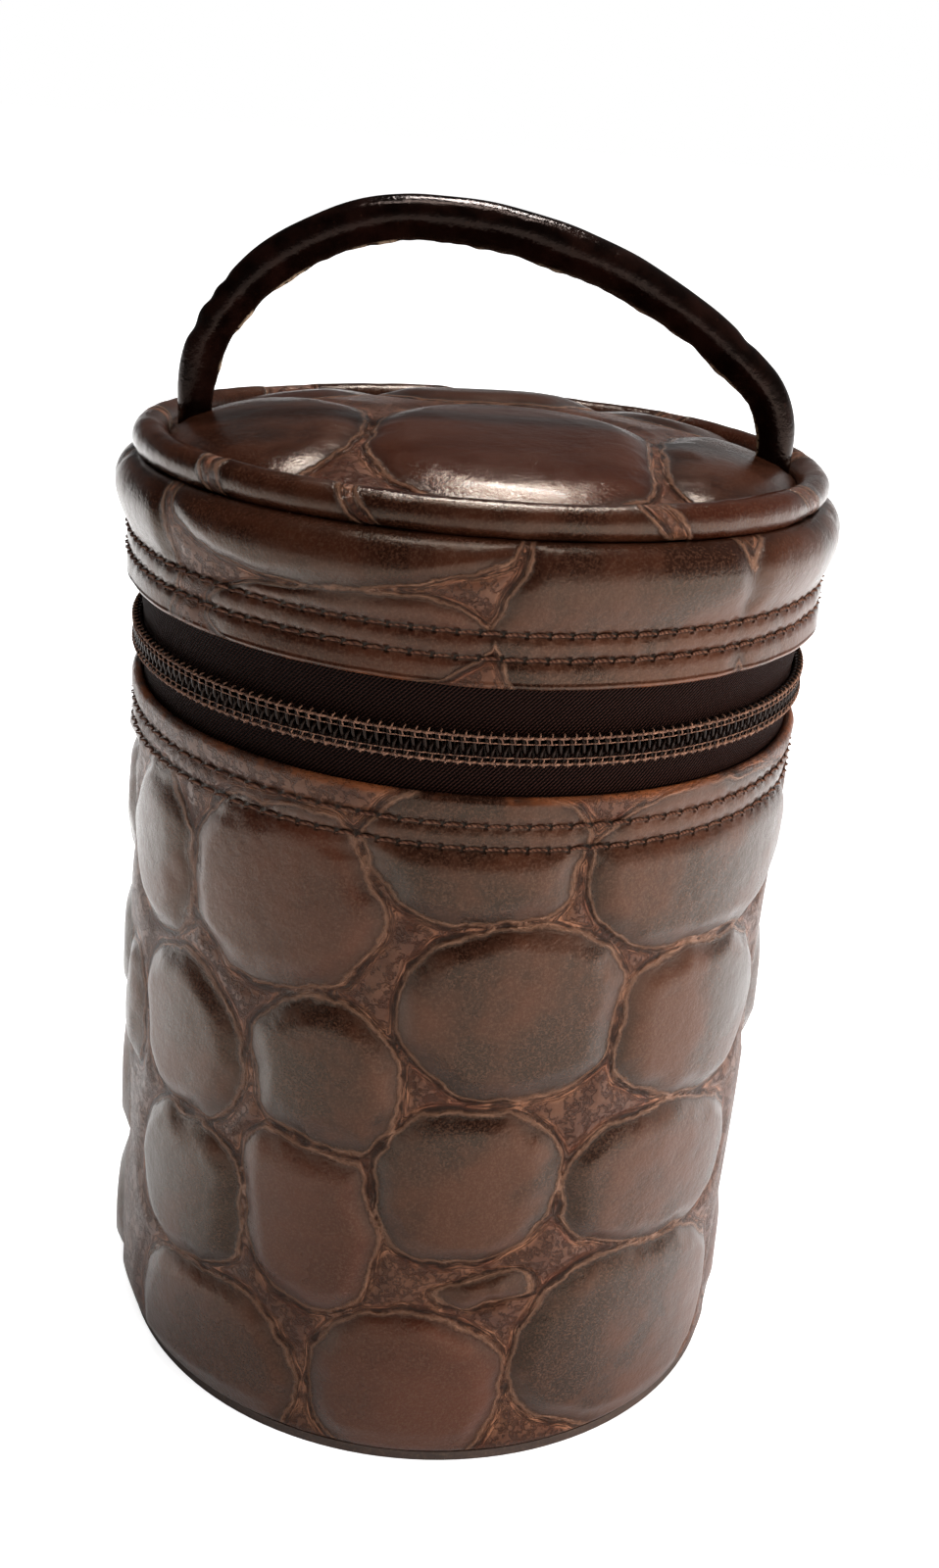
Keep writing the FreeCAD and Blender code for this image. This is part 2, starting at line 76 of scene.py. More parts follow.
def far_side_scales():
    """The grain on round the back, in five staggered rows of rounded scales."""
    dice = random.Random(11)
    rows = [(9, 12.5, 11.0, 76), (31, 11.5, 10.0, 84), (51.5, 11.0, 9.6, 80),
            (70, 11.5, 8.8, 84), (85.5, 13.0, 7.2, 82)]
    found = []
    for level, wide, tall, start in rows:
        count = max(2, round((286 - start) * math.radians(wall_radius) / (2.06 * wide)))
        step = (286 - start) / count
        for k in range(count):
            around = start + step * (k + 0.5) + dice.uniform(-2, 2)
            found.append((around, level + dice.uniform(-1.6, 1.6), wide * dice.uniform(0.9, 1.06),
                          tall * dice.uniform(0.9, 1.08), dice.uniform(-14, 14)))
    return found


def furrow_distance(across, up, scales, lap):
    """Distance in mm from the nearest furrow, above 0 inside a scale, and
    the scale's number. The last two scales to claim a point share its edge."""
    square, centre = 2.25, 0.02
    best = np.full(across.shape, 9.0)
    second = best.copy()
    inside = np.full(across.shape, -9.0)
    owner = np.zeros(across.shape, int)
    size = np.full(across.shape, 10.0)
    for number, (cx, cy, half_w, half_h, lean) in enumerate(scales):
        dx = (across - cx + lap / 2) % lap - lap / 2
        dy = up - cy
        turn = math.radians(lean)
        px = dx * math.cos(turn) + dy * math.sin(turn)
        py = dy * math.cos(turn) - dx * math.sin(turn)
        q = (np.abs(px / half_w) ** square + np.abs(py / half_h) ** square) ** (1 / square)
        middle = q < centre
        q = np.maximum(q, centre)
        depth = np.minimum(np.hypot(px, py) * (1 / q - 1), min(half_w, half_h))
        depth = np.where(middle, min(half_w, half_h), depth)
        nearer = q < best
        second = np.where(nearer, best, np.minimum(second, q))
        inside = np.where(nearer, depth, inside)
        owner = np.where(nearer, number, owner)
        size = np.where(nearer, (half_w + half_h) / 2, size)
        best = np.where(nearer, q, best)
    shared = (second - best) * 0.5 * size
    return np.minimum(inside, shared), owner


def wander(points, coarse, reach, seed):
    """Smooth seeded noise at points in mm: one value for each point."""
    shift = Vector((seed * 7.1, seed * 3.7, seed * 5.3))
    flat = points.reshape(-1, 3) / coarse
    return reach * np.array([noise.noise(Vector(p) + shift) for p in flat]).reshape(points.shape[:-1])


def scale_height(edge, rise, shoulder):
    """Soft pillows with rounded shoulders; where three of them leave a wide
    gap the furrow swells up again into a small fold."""
    inner = np.clip((edge + 0.5) / (shoulder + 0.5), 0, 1)
    slope = inner * inner * (3 - 2 * inner)
    pillow = rise * (0.78 * slope + 0.22 * np.clip(edge / 9.0, 0, 1) ** 0.8)
    fold = 0.3 * rise * (1 - np.exp(-((np.clip(-edge - 0.9, 0, None) / 1.1) ** 2)))
    return pillow + fold - 0.1 * np.exp(-((edge / 0.5) ** 2))


def mesh_object(name, verts, faces, attributes=None, shown=True):
    """A smooth object of its own mesh; one that isn't shown is a pattern."""
    mesh = bpy.data.meshes.new(name)
    mesh.from_pydata(verts, [], faces)
    mesh.shade_smooth()
    for title, values in (attributes or {}).items():
        layer = mesh.attributes.new(title, "FLOAT", "POINT")
        layer.data.foreach_set("value", np.asarray(values, np.float32).reshape(-1))
    piece = bpy.data.objects.new(name, mesh)
    if shown:
        bpy.context.scene.collection.objects.link(piece)
    return piece


def turned_mesh(name, rings, closed, attributes=None):
    """Mesh through rings of points (ring, step, xyz), in metres. The rings
    close into a loop, and so do the steps unless the piece is an arc."""
    count, steps = rings.shape[:2]
    index = np.arange(count * steps).reshape(count, steps)
    ahead = np.roll(index, -1, axis=1)
    above = np.roll(index, -1, axis=0)
    both = np.roll(ahead, -1, axis=0)
    quads = np.stack([index, ahead, both, above], -1)
    faces = quads[:, : steps if closed else steps - 1].reshape(-1, 4).tolist()
    if not closed:
        faces.append(index[:, 0].tolist())
        faces.append(index[::-1, -1].tolist())
    return mesh_object(name, rings.reshape(-1, 3).tolist(), faces, attributes)


def scale_tones(owner, count, seed):
    """A tone from -1 to 1 for each scale, at every point that it owns."""
    return np.array([random.Random(k + seed).uniform(-1, 1) for k in range(count)])[owner]


def around_axis(radius, height, angles):
    """Points in metres at radii and heights in mm, turned to every angle; the
    angles count from the front of the cup, towards its right-hand side."""
    turn = np.radians(angles)
    r, z = np.broadcast_arrays(radius, height)
    if r.ndim == 1:
        r, z = (np.repeat(a[:, None], len(angles), 1) for a in (r, z))
    return np.stack([r * np.sin(turn), -r * np.cos(turn), z], -1) * MM


def stitch_channel(up, around_mm, rows, pitch, depth):
    """How far the leather is pulled in at rows of stitches, in mm, and how
    near each point is to the needle line, from 0 to 1."""
    pull = np.zeros(np.broadcast(up, around_mm).shape)
    line = pull.copy()
    for row in rows:
        line = np.maximum(line, np.exp(-(((up - row) / 0.55) ** 2)))
        along = 0.72 + 0.28 * np.cos(around_mm * 2 * math.pi / pitch)
        pull = pull + depth * np.exp(-(((up - row) / 0.62) ** 2)) * along
        pull = pull + 0.3 * depth * np.exp(-(((up - row) / 1.7) ** 2))
    return pull, line


def build_cup_leather():
    steps = 480
    angles = np.arange(steps) * 360 / steps
    lap = 2 * math.pi * wall_radius
    scales = [(math.radians(a) * wall_radius, *rest) for a, *rest in CUP_SCALES + far_side_scales()]

    face = np.linspace(foot_height + 0.9, rim_height - 0.8, 176)
    turn = np.linspace(0, math.pi, 9)
    rim_r = wall_radius - 0.75 + 0.75 * np.cos(turn)
    rim_z = rim_height - 0.8 + 0.8 * np.sin(turn)
    back = np.array([60, 20, foot_height])
    foot_r = wall_radius - 0.9 + 0.9 * np.cos(np.linspace(-math.pi / 2, 0, 5))[:-1]
    foot_z = foot_height + 0.9 + 0.9 * np.sin(np.linspace(-math.pi / 2, 0, 5))[:-1]
    radius = np.concatenate([foot_r, np.full(face.size, wall_radius), rim_r[1:],
                             np.full(back.size, wall_radius - leather_thick)])
    height = np.concatenate([foot_z, face, rim_z[1:], back])
    outside = np.concatenate([np.ones(foot_z.size + face.size), np.clip(1 - turn[1:] / 1.6, 0, 1),
                              np.zeros(back.size)])

    base = around_axis(radius, height, angles) / MM
    around_mm = np.radians(angles)[None, :] * wall_radius
    across = around_mm + wander(base, 9.0, 1.3, 1) + wander(base, 3.2, 0.3, 2)
    up = height[:, None] + wander(base, 9.0, 1.1, 3) + wander(base, 3.0, 0.3, 4)
    edge, owner = furrow_distance(across, up, scales, lap)
    banded = np.clip((height[:, None] - (row_heights[0] - 2.2)) / 2.4, 0, 1)
    edge = edge + 0.05 + 1.2 * banded - np.abs(wander(base, 5.0, 0.9, 7))
    footed = np.clip((height[:, None] - foot_height) / 3.5, 0.1, 1)
    relief = scale_height(edge, 1.45, 3.9) - 0.75
    relief = relief * (1 - 0.86 * banded) * footed
    relief = relief + wander(base, 26.0, 0.7, 5) * footed * (1 - banded)
    pull, seam = stitch_channel(height[:, None], around_mm, row_heights, lap / STITCHES, 0.5)
    relief = relief - pull
    relief = relief + wander(base, 4.0, 0.12, 6) * banded
    leftward = np.clip(-np.sin(np.radians(angles)), 0, 1)[None, :] ** 2
    relief = relief + 1.7 * leftward * np.clip(1 - height[:, None] / 52, 0, 1) * footed
    shaped = radius[:, None] + relief * outside[:, None]
    rings = around_axis(shaped, height[:, None], angles)
    burnish = np.clip((height[:, None] - rim_height + 0.9) / 0.9, 0, 1.2) * np.ones(steps)
    tone = scale_tones(owner, len(scales), 5)
    return turned_mesh("cup_leather_wrap", rings, True,
                       {"edge": edge, "tone": tone, "burnish": burnish, "seam": seam})


def node_tree(name):
    """New material with its output, and short ways to add and join nodes."""
    material = bpy.data.materials.new(name)
    material.use_nodes = True
    tree = material.node_tree
    tree.nodes.clear()
    shader = tree.nodes.new("ShaderNodeBsdfPrincipled")
    output = tree.nodes.new("ShaderNodeOutputMaterial")
    tree.links.new(shader.outputs[0], output.inputs[0])
    return material, tree, shader


def feed(tree, socket, given):
    """Link a node's output to a socket, or set the socket's own value."""
    if isinstance(given, bpy.types.NodeSocket):
        tree.links.new(given, socket)
    else:
        socket.default_value = given


def add(tree, kind, **values):
    """Add a node; keyword values go to its settings or to its inputs."""
    made = tree.nodes.new(kind)
    for key, given in values.items():
        if hasattr(made, key):
            setattr(made, key, given)
        else:
            feed(tree, made.inputs[int(key[2:]) if key.startswith("in") else key], given)
    return made


def dress(tree, shader, height=None, strength=0.5, distance=0.0001, **sockets):
    """Set or link inputs of the shader, and bump it by a height if there is
    one. An underscore in a keyword stands for a space in the socket's name."""
    for title, given in sockets.items():
        feed(tree, shader.inputs[title.replace("_", " ")], given)
    if height is not None:
        bump = add(tree, "ShaderNodeBump", Strength=strength, Distance=distance, Height=height)
        tree.links.new(bump.outputs[0], shader.inputs["Normal"])


def grain(tree, scale, detail=3, roughness=0.55, distortion=0.0):
    """Noise on the object's own coordinates; the scale is per metre."""
    place = add(tree, "ShaderNodeTexCoord").outputs["Object"]
    made = add(tree, "ShaderNodeTexNoise", Vector=place, Scale=scale, Detail=detail,
               Roughness=roughness, Distortion=distortion)
    return made.outputs[0]


def math_node(tree, operation, first, second=0.0, third=0.0):
    made = add(tree, "ShaderNodeMath", operation=operation)
    for socket, given in zip(made.inputs, (first, second, third)):
        feed(tree, socket, given)
    return made.outputs[0]


def times(tree, first, second):
    return math_node(tree, "MULTIPLY", first, second)


def plus(tree, first, factor, third):
    """third and first times the factor, added."""
    return math_node(tree, "MULTIPLY_ADD", first, factor, third)


def remap(tree, value, low, high, to_low=0.0, to_high=1.0):
    made = add(tree, "ShaderNodeMapRange", interpolation_type="SMOOTHSTEP")
    for socket, given in zip(made.inputs, (value, low, high, to_low, to_high)):
        feed(tree, socket, given)
    return made.outputs[0]


def blend_colours(tree, share, first, second):
    made = add(tree, "ShaderNodeMix", data_type="RGBA", blend_type="MIX")
    for socket, given in ((made.inputs[0], share), (made.inputs[6], first), (made.inputs[7], second)):
        feed(tree, socket, (*given, 1.0) if isinstance(given, tuple) else given)
    return made.outputs[2]


def croc_leather():
    """Dark chocolate hide with a satin finish: the scales are deep brown, the pressed furrows are rubbed to a
    warm tan with creases that run along them. Shade at the scale borders, in the furrows and at the stitches,
    highlights on the scale lips and a darker tone on the glossy lid are painted into the colour."""
    material, tree, shader = node_tree("croc_leather")
    edge, tone, burnish, seam, gloss_and_shade = (add(tree, "ShaderNodeAttribute", attribute_name=title).outputs["Fac"]
                                        for title in ("edge", "tone", "burnish", "seam", "gloss_and_shade"))
    cloudy = grain(tree, 75, 4, 0.6)
    patchy = grain(tree, 300, 4, 0.6)
    fine = grain(tree, 1300, 5, 0.7)
    pores = grain(tree, 3200, 3, 0.7)
    worn = plus(tree, math_node(tree, "SUBTRACT", patchy, 0.5), 1.6, edge)
    worn = plus(tree, math_node(tree, "SUBTRACT", fine, 0.5), 0.6, worn)

    scales = blend_colours(tree, remap(tree, cloudy, 0.38, 0.64), (0.013, 0.0038, 0.0018),
                           (0.062, 0.0178, 0.0078))
    scales = blend_colours(tree, remap(tree, tone, -0.2, 1.0, 0.0, 0.6), scales, (0.075, 0.015, 0.0062))
    scales = blend_colours(tree, remap(tree, pores, 0.44, 0.68, 0.0, 0.65), scales, (0.1, 0.044, 0.026))
    # Painted shade: the glossy dome, piping and skirt top are darkened here, where they reflect dark
    # surroundings; the same attribute also makes them smoother.
    scales = blend_colours(tree, times(tree, gloss_and_shade, 0.45), scales, (0.018, 0.0048, 0.0022))
    # Painted shade just inside each scale's border, where it rounds down to the furrow.
    painted_border_shade = times(tree, remap(tree, worn, 0.2, 0.7), remap(tree, worn, 2.6, 0.7))
    scales = blend_colours(tree, times(tree, painted_border_shade, 0.5), scales, (0.013, 0.0038, 0.002))

    # Creases run along the furrows: the noise is stretched along the edges.
    place = add(tree, "ShaderNodeTexCoord").outputs["Object"]
    stretched = add(tree, "ShaderNodeTexNoise", noise_dimensions="4D", Vector=place, Scale=250.0,
                    Detail=5.0, Roughness=0.65, W=times(tree, edge, 0.0115)).outputs[0]
    off_line = math_node(tree, "ABSOLUTE", math_node(tree, "SUBTRACT", stretched, 0.5))
    off_net = math_node(tree, "ABSOLUTE", math_node(tree, "SUBTRACT", grain(tree, 480, 5, 0.72), 0.5))
    wide = remap(tree, edge, -0.5, -1.1)
    along = times(tree, remap(tree, off_line, 0.0, 0.085), math_node(tree, "SUBTRACT", 1.0, wide))
    ridge = plus(tree, remap(tree, off_net, 0.0, 0.05, 0.25, 0.95), wide, along)
    light_tan = blend_colours(tree, remap(tree, patchy, 0.32, 0.66), (0.15, 0.046, 0.0235),
                              (0.38, 0.158, 0.082))
    tan = blend_colours(tree, ridge, (0.034, 0.0105, 0.006), light_tan)
    tan = blend_colours(tree, remap(tree, cloudy, 0.36, 0.56, 0.5, 0.0), tan, (0.1, 0.024, 0.0105))
    # Painted shade: the middle of wide furrows is darker.
    tan = blend_colours(tree, remap(tree, edge, -0.4, -1.3, 0.0, 0.8), tan, (0.047, 0.0148, 0.0085))
    in_furrow = remap(tree, worn, 0.55, -0.45)
    colour = blend_colours(tree, in_furrow, scales, tan)
    lip_and_highlight = times(tree, remap(tree, worn, 0.0, 0.4), remap(tree, worn, 0.85, 0.4))
    # Painted shade in the crease just outside each scale's edge, in patches; the bump sinks the same crease.
    trough = times(tree, remap(tree, worn, -0.7, -0.15), remap(tree, worn, 0.35, -0.15))
    deep = times(tree, trough, remap(tree, patchy, 0.38, 0.62, 0.85, 0.15))
    colour = blend_colours(tree, deep, colour, (0.014, 0.004, 0.002))
    # Painted highlight on the raised lip just inside each scale's edge; the bump raises the same lip.
    colour = blend_colours(tree, times(tree, lip_and_highlight, 0.6), colour, (0.29, 0.14, 0.082))
    rubbed = times(tree, burnish, remap(tree, cloudy, 0.46, 0.58))
    colour = blend_colours(tree, rubbed, colour, (0.25, 0.07, 0.022))
    parts = add(tree, "ShaderNodeSeparateXYZ", in0=place)
    turn = math_node(tree, "ARCTAN2", parts.outputs[1], parts.outputs[0])
    phase = math_node(tree, "COSINE", times(tree, turn, float(STITCHES)))
    # The stitch holes and the needle line are darkened: painted shade in the holes and the groove, on leather
    # that is also pressed darker there.
    holes = times(tree, remap(tree, phase, -0.6, -1.0), remap(tree, seam, 0.4, 0.85))
    shaded_needle_line = math_node(tree, "MAXIMUM", holes, times(tree, remap(tree, seam, 0.55, 0.9), 0.8))
    colour = blend_colours(tree, shaded_needle_line, colour, (0.0045, 0.002, 0.0014))

    rough = remap(tree, cloudy, 0.3, 0.7, 0.22, 0.36)
    rough = plus(tree, in_furrow, 0.12, rough)
    rough = plus(tree, shaded_needle_line, 0.3, rough)
    rough = plus(tree, gloss_and_shade, -0.09, rough)

    crease = times(tree, ridge, remap(tree, worn, 1.2, -0.2))
    height = plus(tree, lip_and_highlight, 0.5, crease)
    height = plus(tree, deep, -1.3, height)
    height = plus(tree, patchy, 0.7, height)
    height = plus(tree, fine, 0.16, height)
    height = plus(tree, pores, 0.16, height)
    height = plus(tree, holes, -1.2, height)
    dress(tree, shader, height, 0.85, 0.0003, Base_Color=colour, Roughness=rough, Specular_IOR_Level=0.46,
          Specular_Tint=(1.0, 0.77, 0.58, 1), Coat_Weight=0.06, Coat_Roughness=0.12)
    return material


hide = croc_leather()
cup_wrap = build_cup_leather()
cup_wrap.data.materials.append(hide)
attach(cup_wrap, "cup")
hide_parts("cup_leather")

# --- Stitches: waxed dark thread in a lockstitch, two rows on the cup and two on
# the lid. Each stitch dives into the leather at both of its ends.


def waxed_thread():
    material, tree, shader = node_tree("waxed_thread")
    ply = add(tree, "ShaderNodeTexWave", wave_type="BANDS", bands_direction="DIAGONAL",
              Vector=add(tree, "ShaderNodeTexCoord").outputs["Object"], Scale=900.0, Distortion=2.0)
    fuzz = grain(tree, 2600, 3)
    colour = blend_colours(tree, ply.outputs["Fac"], (0.04, 0.0135, 0.0078), (0.14, 0.058, 0.033))
    colour = blend_colours(tree, remap(tree, fuzz, 0.5, 0.75, 0.0, 0.5), colour, (0.28, 0.15, 0.095))
    dress(tree, shader, ply.outputs["Fac"], 0.5, 0.00008, Base_Color=colour, Roughness=0.75,
          Specular_IOR_Level=0.2)
    return material


def tube_faces(rings, sides):
    """Side faces and both end caps of a small tube."""
    faces = []
    for k in range(rings - 1):
        for j in range(sides):
            a, b = k * sides + j, k * sides + (j + 1) % sides
            faces.append((a, b, b + sides, a + sides))
    last = (rings - 1) * sides
    return faces + [tuple(range(sides - 1, -1, -1)), tuple(range(last, last + sides))]


def stitch_shape():
    """One stitch, 1 long along X: a slack little rope that dips at its ends."""
    rings, sides, thick = 7, 6, 0.088
    verts = []
    for x in np.linspace(-0.5, 0.5, rings):
        sink = -0.2 * (2 * abs(x)) ** 4
        wide = thick * (0.45 + 0.55 * (1 - (2 * abs(x)) ** 3))
        for j in range(sides):
            spin = 2 * math.pi * j / sides
            verts.append((x, sink + wide * math.cos(spin), 0.05 * x + 1.15 * wide * math.sin(spin)))
    return mesh_object("stitch_shape", verts, tube_faces(rings, sides), shown=False)


def ring_tree(name, material):
    """Geometry Nodes: copies of a shape spaced along an arc about Z. Named
    inputs: Radius, Height, Count, Start, Sweep, Size, Shape."""
    tree = bpy.data.node_groups.new(name, "GeometryNodeTree")
    face = tree.interface
    for title, kind in (("Radius", "Float"), ("Height", "Float"), ("Count", "Int"), ("Start", "Float"),
                        ("Sweep", "Float"), ("Size", "Float"), ("Shape", "Object")):
        face.new_socket(title, in_out="INPUT", socket_type="NodeSocket" + kind)
    face.new_socket("Geometry", in_out="OUTPUT", socket_type="NodeSocketGeometry")
    given = tree.nodes.new("NodeGroupInput").outputs
    arc = add(tree, "GeometryNodeCurveArc", mode="RADIUS", Resolution=256, Radius=given["Radius"])
    tree.links.new(given["Start"], arc.inputs["Start Angle"])
    tree.links.new(given["Sweep"], arc.inputs["Sweep Angle"])
    points = add(tree, "GeometryNodeCurveToPoints", mode="COUNT", Curve=arc.outputs[0], Count=given["Count"])
    along = add(tree, "FunctionNodeAlignRotationToVector", axis="X", pivot_axis="Z",
                Vector=points.outputs["Tangent"])
    shape = add(tree, "GeometryNodeObjectInfo", Object=given["Shape"])
    size = add(tree, "ShaderNodeCombineXYZ", X=given["Size"], Y=given["Size"], Z=given["Size"])
    copies = add(tree, "GeometryNodeInstanceOnPoints", Points=points.outputs["Points"],
                 Instance=shape.outputs["Geometry"], Rotation=along.outputs[0], Scale=size.outputs[0])
    lift = add(tree, "ShaderNodeCombineXYZ", Z=given["Height"])
    move = add(tree, "GeometryNodeTransform", Geometry=copies.outputs[0], Translation=lift.outputs[0])
    real = add(tree, "GeometryNodeRealizeInstances", in0=move.outputs[0])
    paint = add(tree, "GeometryNodeSetMaterial", Material=material, Geometry=real.outputs[0])
    tree.links.new(paint.outputs[0], tree.nodes.new("NodeGroupOutput").inputs[0])
    return tree


def spread(name, tree, **values):
    """Run one of the trees with its inputs set and keep a plain mesh of it."""
    carrier = bpy.data.objects.new(name, bpy.data.meshes.new(name + "_seed"))
    bpy.context.scene.collection.objects.link(carrier)
    modifier = carrier.modifiers.new("nodes", "NODES")
    modifier.node_group = tree
    for item in tree.interface.items_tree:
        if item.in_out == "INPUT" and item.name in values:
            modifier[item.identifier] = values[item.name]
    carrier.update_tag()
    bpy.context.view_layer.update()
    graph = bpy.context.evaluated_depsgraph_get()
    mesh = bpy.data.meshes.new_from_object(carrier.evaluated_get(graph))
    mesh.name = name
    carrier.modifiers.remove(modifier)
    carrier.data = mesh
    return carrier


thread = waxed_thread()
stitches = ring_tree("stitch_row", thread)
stitch = stitch_shape()


def stitch_row(name, node, radius, body):
    """A row of single stitches all round, where the plain thread ring lies."""
    low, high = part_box(node)
    pitch = 2 * math.pi * radius / STITCHES
    row = spread(name, stitches, Radius=radius * MM, Height=(low.z + high.z) / 2, Count=STITCHES,
                 Start=0.0, Sweep=2 * math.pi * (1 - 1 / STITCHES), Size=pitch * 0.9 * MM, Shape=stitch)
    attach(row, body)
    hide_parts(node)
    return row


for level in ("lower", "upper"):
    stitch_row(f"cup_stitches_{level}", f"cup_stitch_{level}", wall_radius - 0.42, "cup")

# --- Sole and inside: a dark leather disc under the cup with a worn cut edge, and
# a dull cloth lining with a felt floor where the dice land.


def sole_leather():
    material, tree, shader = node_tree("sole_leather")
    stains = grain(tree, 120, 4, 0.6)
    fibres = grain(tree, 1900, 4, 0.7)
    colour = blend_colours(tree, stains, (0.02, 0.011, 0.008), (0.075, 0.042, 0.03))
    colour = blend_colours(tree, remap(tree, fibres, 0.45, 0.7, 0.0, 0.6), colour, (0.13, 0.085, 0.06))
    dress(tree, shader, fibres, 0.5, 0.00015, Base_Color=colour,
          Roughness=remap(tree, fibres, 0.3, 0.7, 0.5, 0.72))
    return material


def lining_cloth(name, first, second, weave, nap):
    """Plain woven lining, or felt where the nap hides the weave."""
    material, tree, shader = node_tree(name)
    place = add(tree, "ShaderNodeTexCoord").outputs["Object"]
    parts = add(tree, "ShaderNodeSeparateXYZ", in0=place)
    turn = math_node(tree, "ARCTAN2", parts.outputs[0], parts.outputs[1])
    warp = math_node(tree, "SINE", times(tree, turn, weave * wall_radius * MM))
    weft = math_node(tree, "SINE", times(tree, parts.outputs[2], weave))
    cloth = times(tree, warp, weft)
    fuzz = grain(tree, 2400, 4, 0.7)
    height = plus(tree, cloth, 1 - nap, times(tree, fuzz, nap * 2))
    colour = blend_colours(tree, remap(tree, fuzz, 0.3, 0.7), first, second)
    dress(tree, shader, height, 0.6, 0.0001, Base_Color=colour, Roughness=0.9, Sheen_Weight=0.25)
    return material


def build_glued_cloth(node, lumps):
    """The tube or disc of a cloth node, a little uneven where it is glued."""
    rings, steps, core, eased = (40, 50), 240, 0.004, (0.1, 0.15)
    spots = np.array([tuple(v.co) for v in nodes[node].data.vertices]) / MM
    reach = np.hypot(spots[:, 0], spots[:, 1])
    inner, outer, low, high = reach.min(), reach.max(), spots[:, 2].min(), spots[:, 2].max()
    flat = outer - inner < 0.1
    count, ease = rings[not flat], eased[not flat]
    if flat:
        across = np.linspace(core, outer - ease, count)
        radius = np.concatenate([across, [outer, outer], across[::-1]])
        height = np.concatenate([np.full(count, low), [low + ease, high - ease], np.full(count, high)])
        under, over = (1.0, 0.0) if low > rim_height else (0.0, 1.0)
        free = np.concatenate([np.full(count, under), [0, 0], np.full(count, over)])
    else:
        rise = np.linspace(low, high - ease, count)
        radius = np.concatenate([np.full(count, outer), [outer - ease, inner + ease], np.full(count, inner)])
        height = np.concatenate([rise, [high, high], rise[::-1]])
        free = np.concatenate([np.zeros(count + 2), np.ones(count)])
    angles = np.arange(steps) * 360 / steps
    base = around_axis(radius, height, angles) / MM
    uneven = np.abs(wander(base, 11.0, lumps, 17)) * free[:, None]
    radius = radius[:, None] - uneven * (not flat)
    height = height[:, None] - uneven * flat
    return turned_mesh(f"{node}_cloth", around_axis(radius, height, angles), True)


def repaint(node, material):
    """Give a CAD node that keeps its shape a finished material."""
    part = nodes[node]
    part.material_slots[0].link = "OBJECT"
    part.material_slots[0].material = material


sole_finish = sole_leather()
repaint("base_sole", sole_finish)
cloth = lining_cloth("lining_cloth", (0.022, 0.014, 0.011), (0.06, 0.04, 0.032), 9000, 0.35)
felt = lining_cloth("floor_felt", (0.03, 0.016, 0.012), (0.08, 0.045, 0.034), 6000, 1.0)
board = lining_cloth("grey_board", (0.23, 0.19, 0.145), (0.33, 0.28, 0.22), 3000, 1.0)
for node, body, material, slot, lumps in (
        ("cup_lining", "cup", cloth, "lining", 0.16), ("base_felt", "cup", felt, "felt", 0.12),
        ("lid_lining", "lid", cloth, "lining", 0.1), ("lid_top_lining", "lid", cloth, "lining", 0.14)):
    inside = build_glued_cloth(node, lumps)
    inside.data.materials.append(material)
    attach(inside, body)
    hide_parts(node)
for node in ("cup_stiffener", "lid_stiffener", "lid_board", "base_board"):
    repaint(node, board)

# --- Zip tapes: two bands of dark twill, sewn inside the cup and the lid, that
# swell out a little between them. The coil is sewn along their facing edges.
zip_height = (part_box("zip_coil_lower")[1].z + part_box("zip_coil_upper")[0].z) / 2 / MM
tape_face = wall_radius - leather_thick
tape_opening = 33.0
tape_thick = 0.45


def tape_twill():
    """Diagonal ribs of a 2/2 twill, which read the tape's own UV map in mm."""
    material, tree, shader = node_tree("tape_twill")
    uv = add(tree, "ShaderNodeUVMap", uv_map="cloth")
    parts = add(tree, "ShaderNodeSeparateXYZ", in0=uv.outputs[0])
    u = times(tree, parts.outputs[0], 1000.0)
    v = times(tree, parts.outputs[1], 1000.0)
    slant = math_node(tree, "SUBTRACT", u, times(tree, v, 0.95))
    rib = math_node(tree, "SINE", times(tree, slant, 2 * math.pi / 0.5))
    yarn = math_node(tree, "SINE", times(tree, v, 2 * math.pi / 0.34))
    weave = plus(tree, yarn, 0.35, rib)
    fuzz = grain(tree, 3000, 3, 0.7)
    # Painted light and shade: the twill's ribs are coloured lighter and the hollows between them near black,
    # with lighter fibre fuzz.
    painted_rib_light = remap(tree, plus(tree, fuzz, 0.8, weave), -0.4, 1.6)
    colour = blend_colours(tree, painted_rib_light, (0.0014, 0.0005, 0.0004), (0.044, 0.017, 0.012))
    dress(tree, shader, weave, 1.0, 0.0002, Base_Color=colour, Roughness=0.8, Specular_IOR_Level=0.08)
    return material


def build_tape(name, heights, faces):
    """A band through (height, outer radius) pairs, open at the back."""
    angles = np.linspace(-180 + tape_opening, 180 - tape_opening, 360)
    level = np.linspace(heights[0], heights[-1], 40)
    outer = np.interp(level, heights, faces)
    radius = np.concatenate([outer, (outer - tape_thick)[::-1]])
    height = np.concatenate([level, level[::-1]])
    rings = around_axis(radius, height, angles)
    waves = wander(rings / MM, 11.0, 0.22, 21)
    soft = np.exp(-(((height - heights[0]) / (heights[-1] - heights[0]) - 0.5) ** 2) * 8)
    shaped = radius[:, None] + waves * soft[:, None]
    rings = around_axis(shaped, height[:, None], angles)
    tape = turned_mesh(name, rings, False)
    layer = tape.data.uv_layers.new(name="cloth")
    corners = np.array([l.vertex_index for l in tape.data.loops])
    ring, step = corners // angles.size, corners % angles.size
    uv = np.stack([np.radians(angles[step]) * tape_face, height[ring]], 1) * MM
    layer.data.foreach_set("uv", uv.astype(np.float32).reshape(-1))
    return tape


